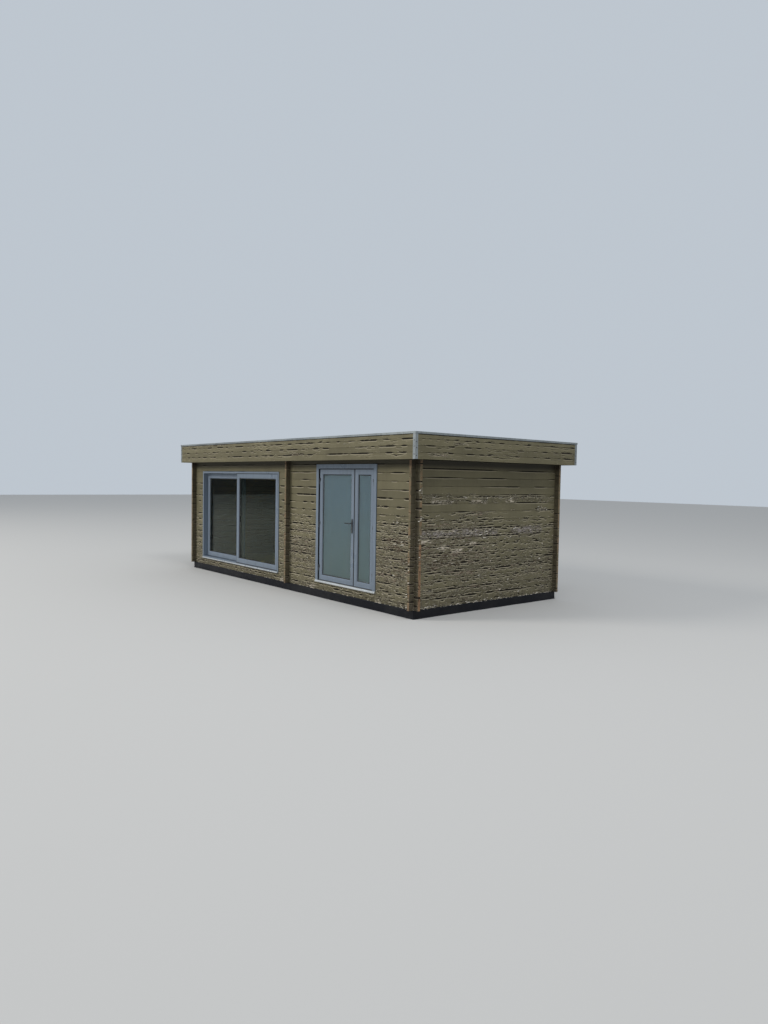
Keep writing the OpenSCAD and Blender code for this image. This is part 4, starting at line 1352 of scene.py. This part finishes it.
def angle_screws():
    """Screws down both legs of the corner angles, near their foot and twice near their top."""
    lo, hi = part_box("corner_angles")
    inset = 0.024
    places = []
    for up in (lo.z + 0.045, hi.z - 0.22, hi.z - 0.137):
        for side in (1, -1):
            for end in (1, -1):
                places.append(((side * hi.x, end * (hi.y - inset), up), (side, 0, 0)))
        for end in (-1, 1):
            for side in (1, -1):
                places.append(((side * (hi.x - inset), end * hi.y, up + 0.02), (0, end, 0)))
    return places


def fascia_nails():
    """Two nails in each fascia board at each joist."""
    along_front = [-3.5 + 0.5 * i for i in range(15)]
    along_side = [-1.5 + 0.6 * i for i in range(6)]
    places = []
    for board in range(4):
        for share in (0.28, 0.72):
            up = EDGE_LO.z + (board + share) * BOARD
            for end in (-1, 1):
                places += [((along, -end * EDGE_LO.y, up), (0, end, 0)) for along in along_front]
                places += [((end * END_HI.x, along, up), (end, 0, 0)) for along in along_side]
    return places


def build_fixings():
    head = screw_head()
    set_fixings("angle_screws", head, "building", angle_screws(), size=0.015)
    set_fixings("fascia_nails", head, "building", fascia_nails(), size=0.006)
    lo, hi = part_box("threshold")
    step = (hi.x - lo.x - 0.16) / 4
    sills = [((lo.x + 0.08 + i * step, lo.y + 0.012, hi.z), (0, 0, 1)) for i in range(5)]
    set_fixings("threshold_screws", head, "building", sills, size=0.007,
                finish="handle")
    lo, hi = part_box("handle_plates")
    plates = [(((lo.x + hi.x) / 2, y, up), (0, end, 0)) for up in (lo.z + 0.014, hi.z - 0.014)
              for y, end in ((lo.y, -1), (hi.y, 1))]
    set_fixings("plate_screws", head, "main_door", plates, size=0.008,
                finish="handle")


def build_lock():
    """A profile lock cylinder with its key slot, in the plate under the lever."""
    lo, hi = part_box("handle_plates")
    middle, centre = (lo.x + hi.x) / 2, lo.z + 0.066
    bore, tail, drop, proud = 0.0085, 0.005, 0.0145, 0.0028
    turns = [math.radians(-54 + 288 * i / 16) for i in range(17)]
    outline = [on_circle(bore, turn) for turn in turns]
    turns = [math.radians(180 + 180 * i / 8) for i in range(9)]
    outline += [(x, z - drop) for x, z in (on_circle(tail, turn) for turn in turns)]
    slot = [(0.0011, -0.0045), (0.0011, 0.0045), (-0.0011, 0.0045), (-0.0011, -0.0045)]
    shapes = []
    marks = []
    for face, away in ((lo.y, -1), (hi.y, 1)):
        for mark, form, steps in (
                (0, outline, ((0.0, 1.0), (0.0022, 1.0), (proud, 0.93))),
                (1, slot, ((proud, 1.0), (proud + 0.0004, 1.0)))):
            shapes.append(loft([[(middle + x * scale, face + away * depth, centre + z * scale)
                                 for x, z in form] for depth, scale in steps]))
            marks += [mark] * len(shapes[-1][1])
    keep("lock_cylinder", solid(joined(shapes), "handle", "gasket", marks=marks), "main_door")


def build_seals():
    """Brush seals in the gap over the sliding sash."""
    lo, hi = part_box("sliding_sash")
    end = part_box("fixed_sash")[1].x
    pile, pitch = 0.0030, 0.0045
    near, far, start = lo.y + 0.022, lo.y + 0.028, lo.x + 0.004
    tuft = loft([[(start, near, z), (start + pile, near, z), (start + pile, far, z),
                  (start, far, z)] for z in (hi.z + 0.002, hi.z + 0.034)])
    grow("head_brush_seal", solid(tuft, "gasket"), "even_row", "building", "roof_rubber",
         Count=int((end - start) / pitch), Step=(pitch, 0, 0), Stray=(0.0006, 0.0008, 0.0006),
         Seed=31, Finish=FINISHES["gasket"])


def build_slider_cill():
    """The drip strip of drawn metal along the foot of the sliding door's frame."""
    lo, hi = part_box("slider_frame")
    back, nose, drop = lo.y - AIR, lo.y - 0.016, lo.y - 0.0135
    top, sheet = lo.z + 0.022, 0.0022
    section = [(back, top), (drop, top - 0.005), (nose, top - 0.008), (nose, top - 0.020),
               (nose + sheet, top - 0.020), (nose + sheet, top - 0.009),
               (drop + sheet, top - 0.0075), (back, top - 0.0045)]
    keep("slider_cill_strip", solid(bar(lo.x + 0.002, hi.x - 0.002, section), "sill"),
         "building")


def build_packers():
    """Black packing strips under the threshold and the sliding door's frame."""
    depth, arris = 0.012, 0.002
    strips = []
    for member in ("door_frame", "slider_frame"):
        lo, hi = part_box(member)
        front, back, top = lo.y + 0.001, -FRONT - AIR, lo.z - AIR
        section = [(back, top), (front, top), (front, top - depth + arris),
                   (front + arris, top - depth), (back, top - depth)]
        strips.append(bar(lo.x + 0.006, hi.x - 0.006, section))
    keep("frame_packers", solid(joined(strips), "gasket"), "building")


def build_roof_laps():
    """Lapped joints across the roof sheet, each lying on the sheet."""
    mesh = nodes["roof_membrane"].data
    sheet = BVHTree.FromPolygons([vertex.co for vertex in mesh.vertices],
                                 [tuple(face.vertices) for face in mesh.polygons])
    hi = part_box("roof_membrane")[1]
    reach, rows = hi.y - 0.06, 24
    laps = []
    for middle in (-1.84, 0.0, 1.84):
        rings = []
        for row in range(rows + 1):
            y = -reach + 2 * reach * row / rows
            under = sheet.ray_cast(Vector((middle, y, hi.z + 1)), Vector((0, 0, -1)))[0].z
            wander = 0.004 * waves(middle, y, (1, 3), 2.0)
            rings.append([(middle + x + wander, y, under + lift + HAIR) for x, lift in (
                (-0.04, 0.0), (-0.036, 0.0018), (0.036, 0.0018), (0.04, 0.0))])
        laps.append(loft(rings))
    keep("roof_sheet_laps", solid(joined(laps), "rubber"), "building")


for build in (build_camera, build_floor, build_light, dress_cad_nodes, build_glazing,
              build_flakes, build_fallen_flakes, build_large_curls, build_skirt,
              build_floor_boards, build_fixings, build_lock, build_seals, build_slider_cill,
              build_packers, build_roof_laps):
    build()
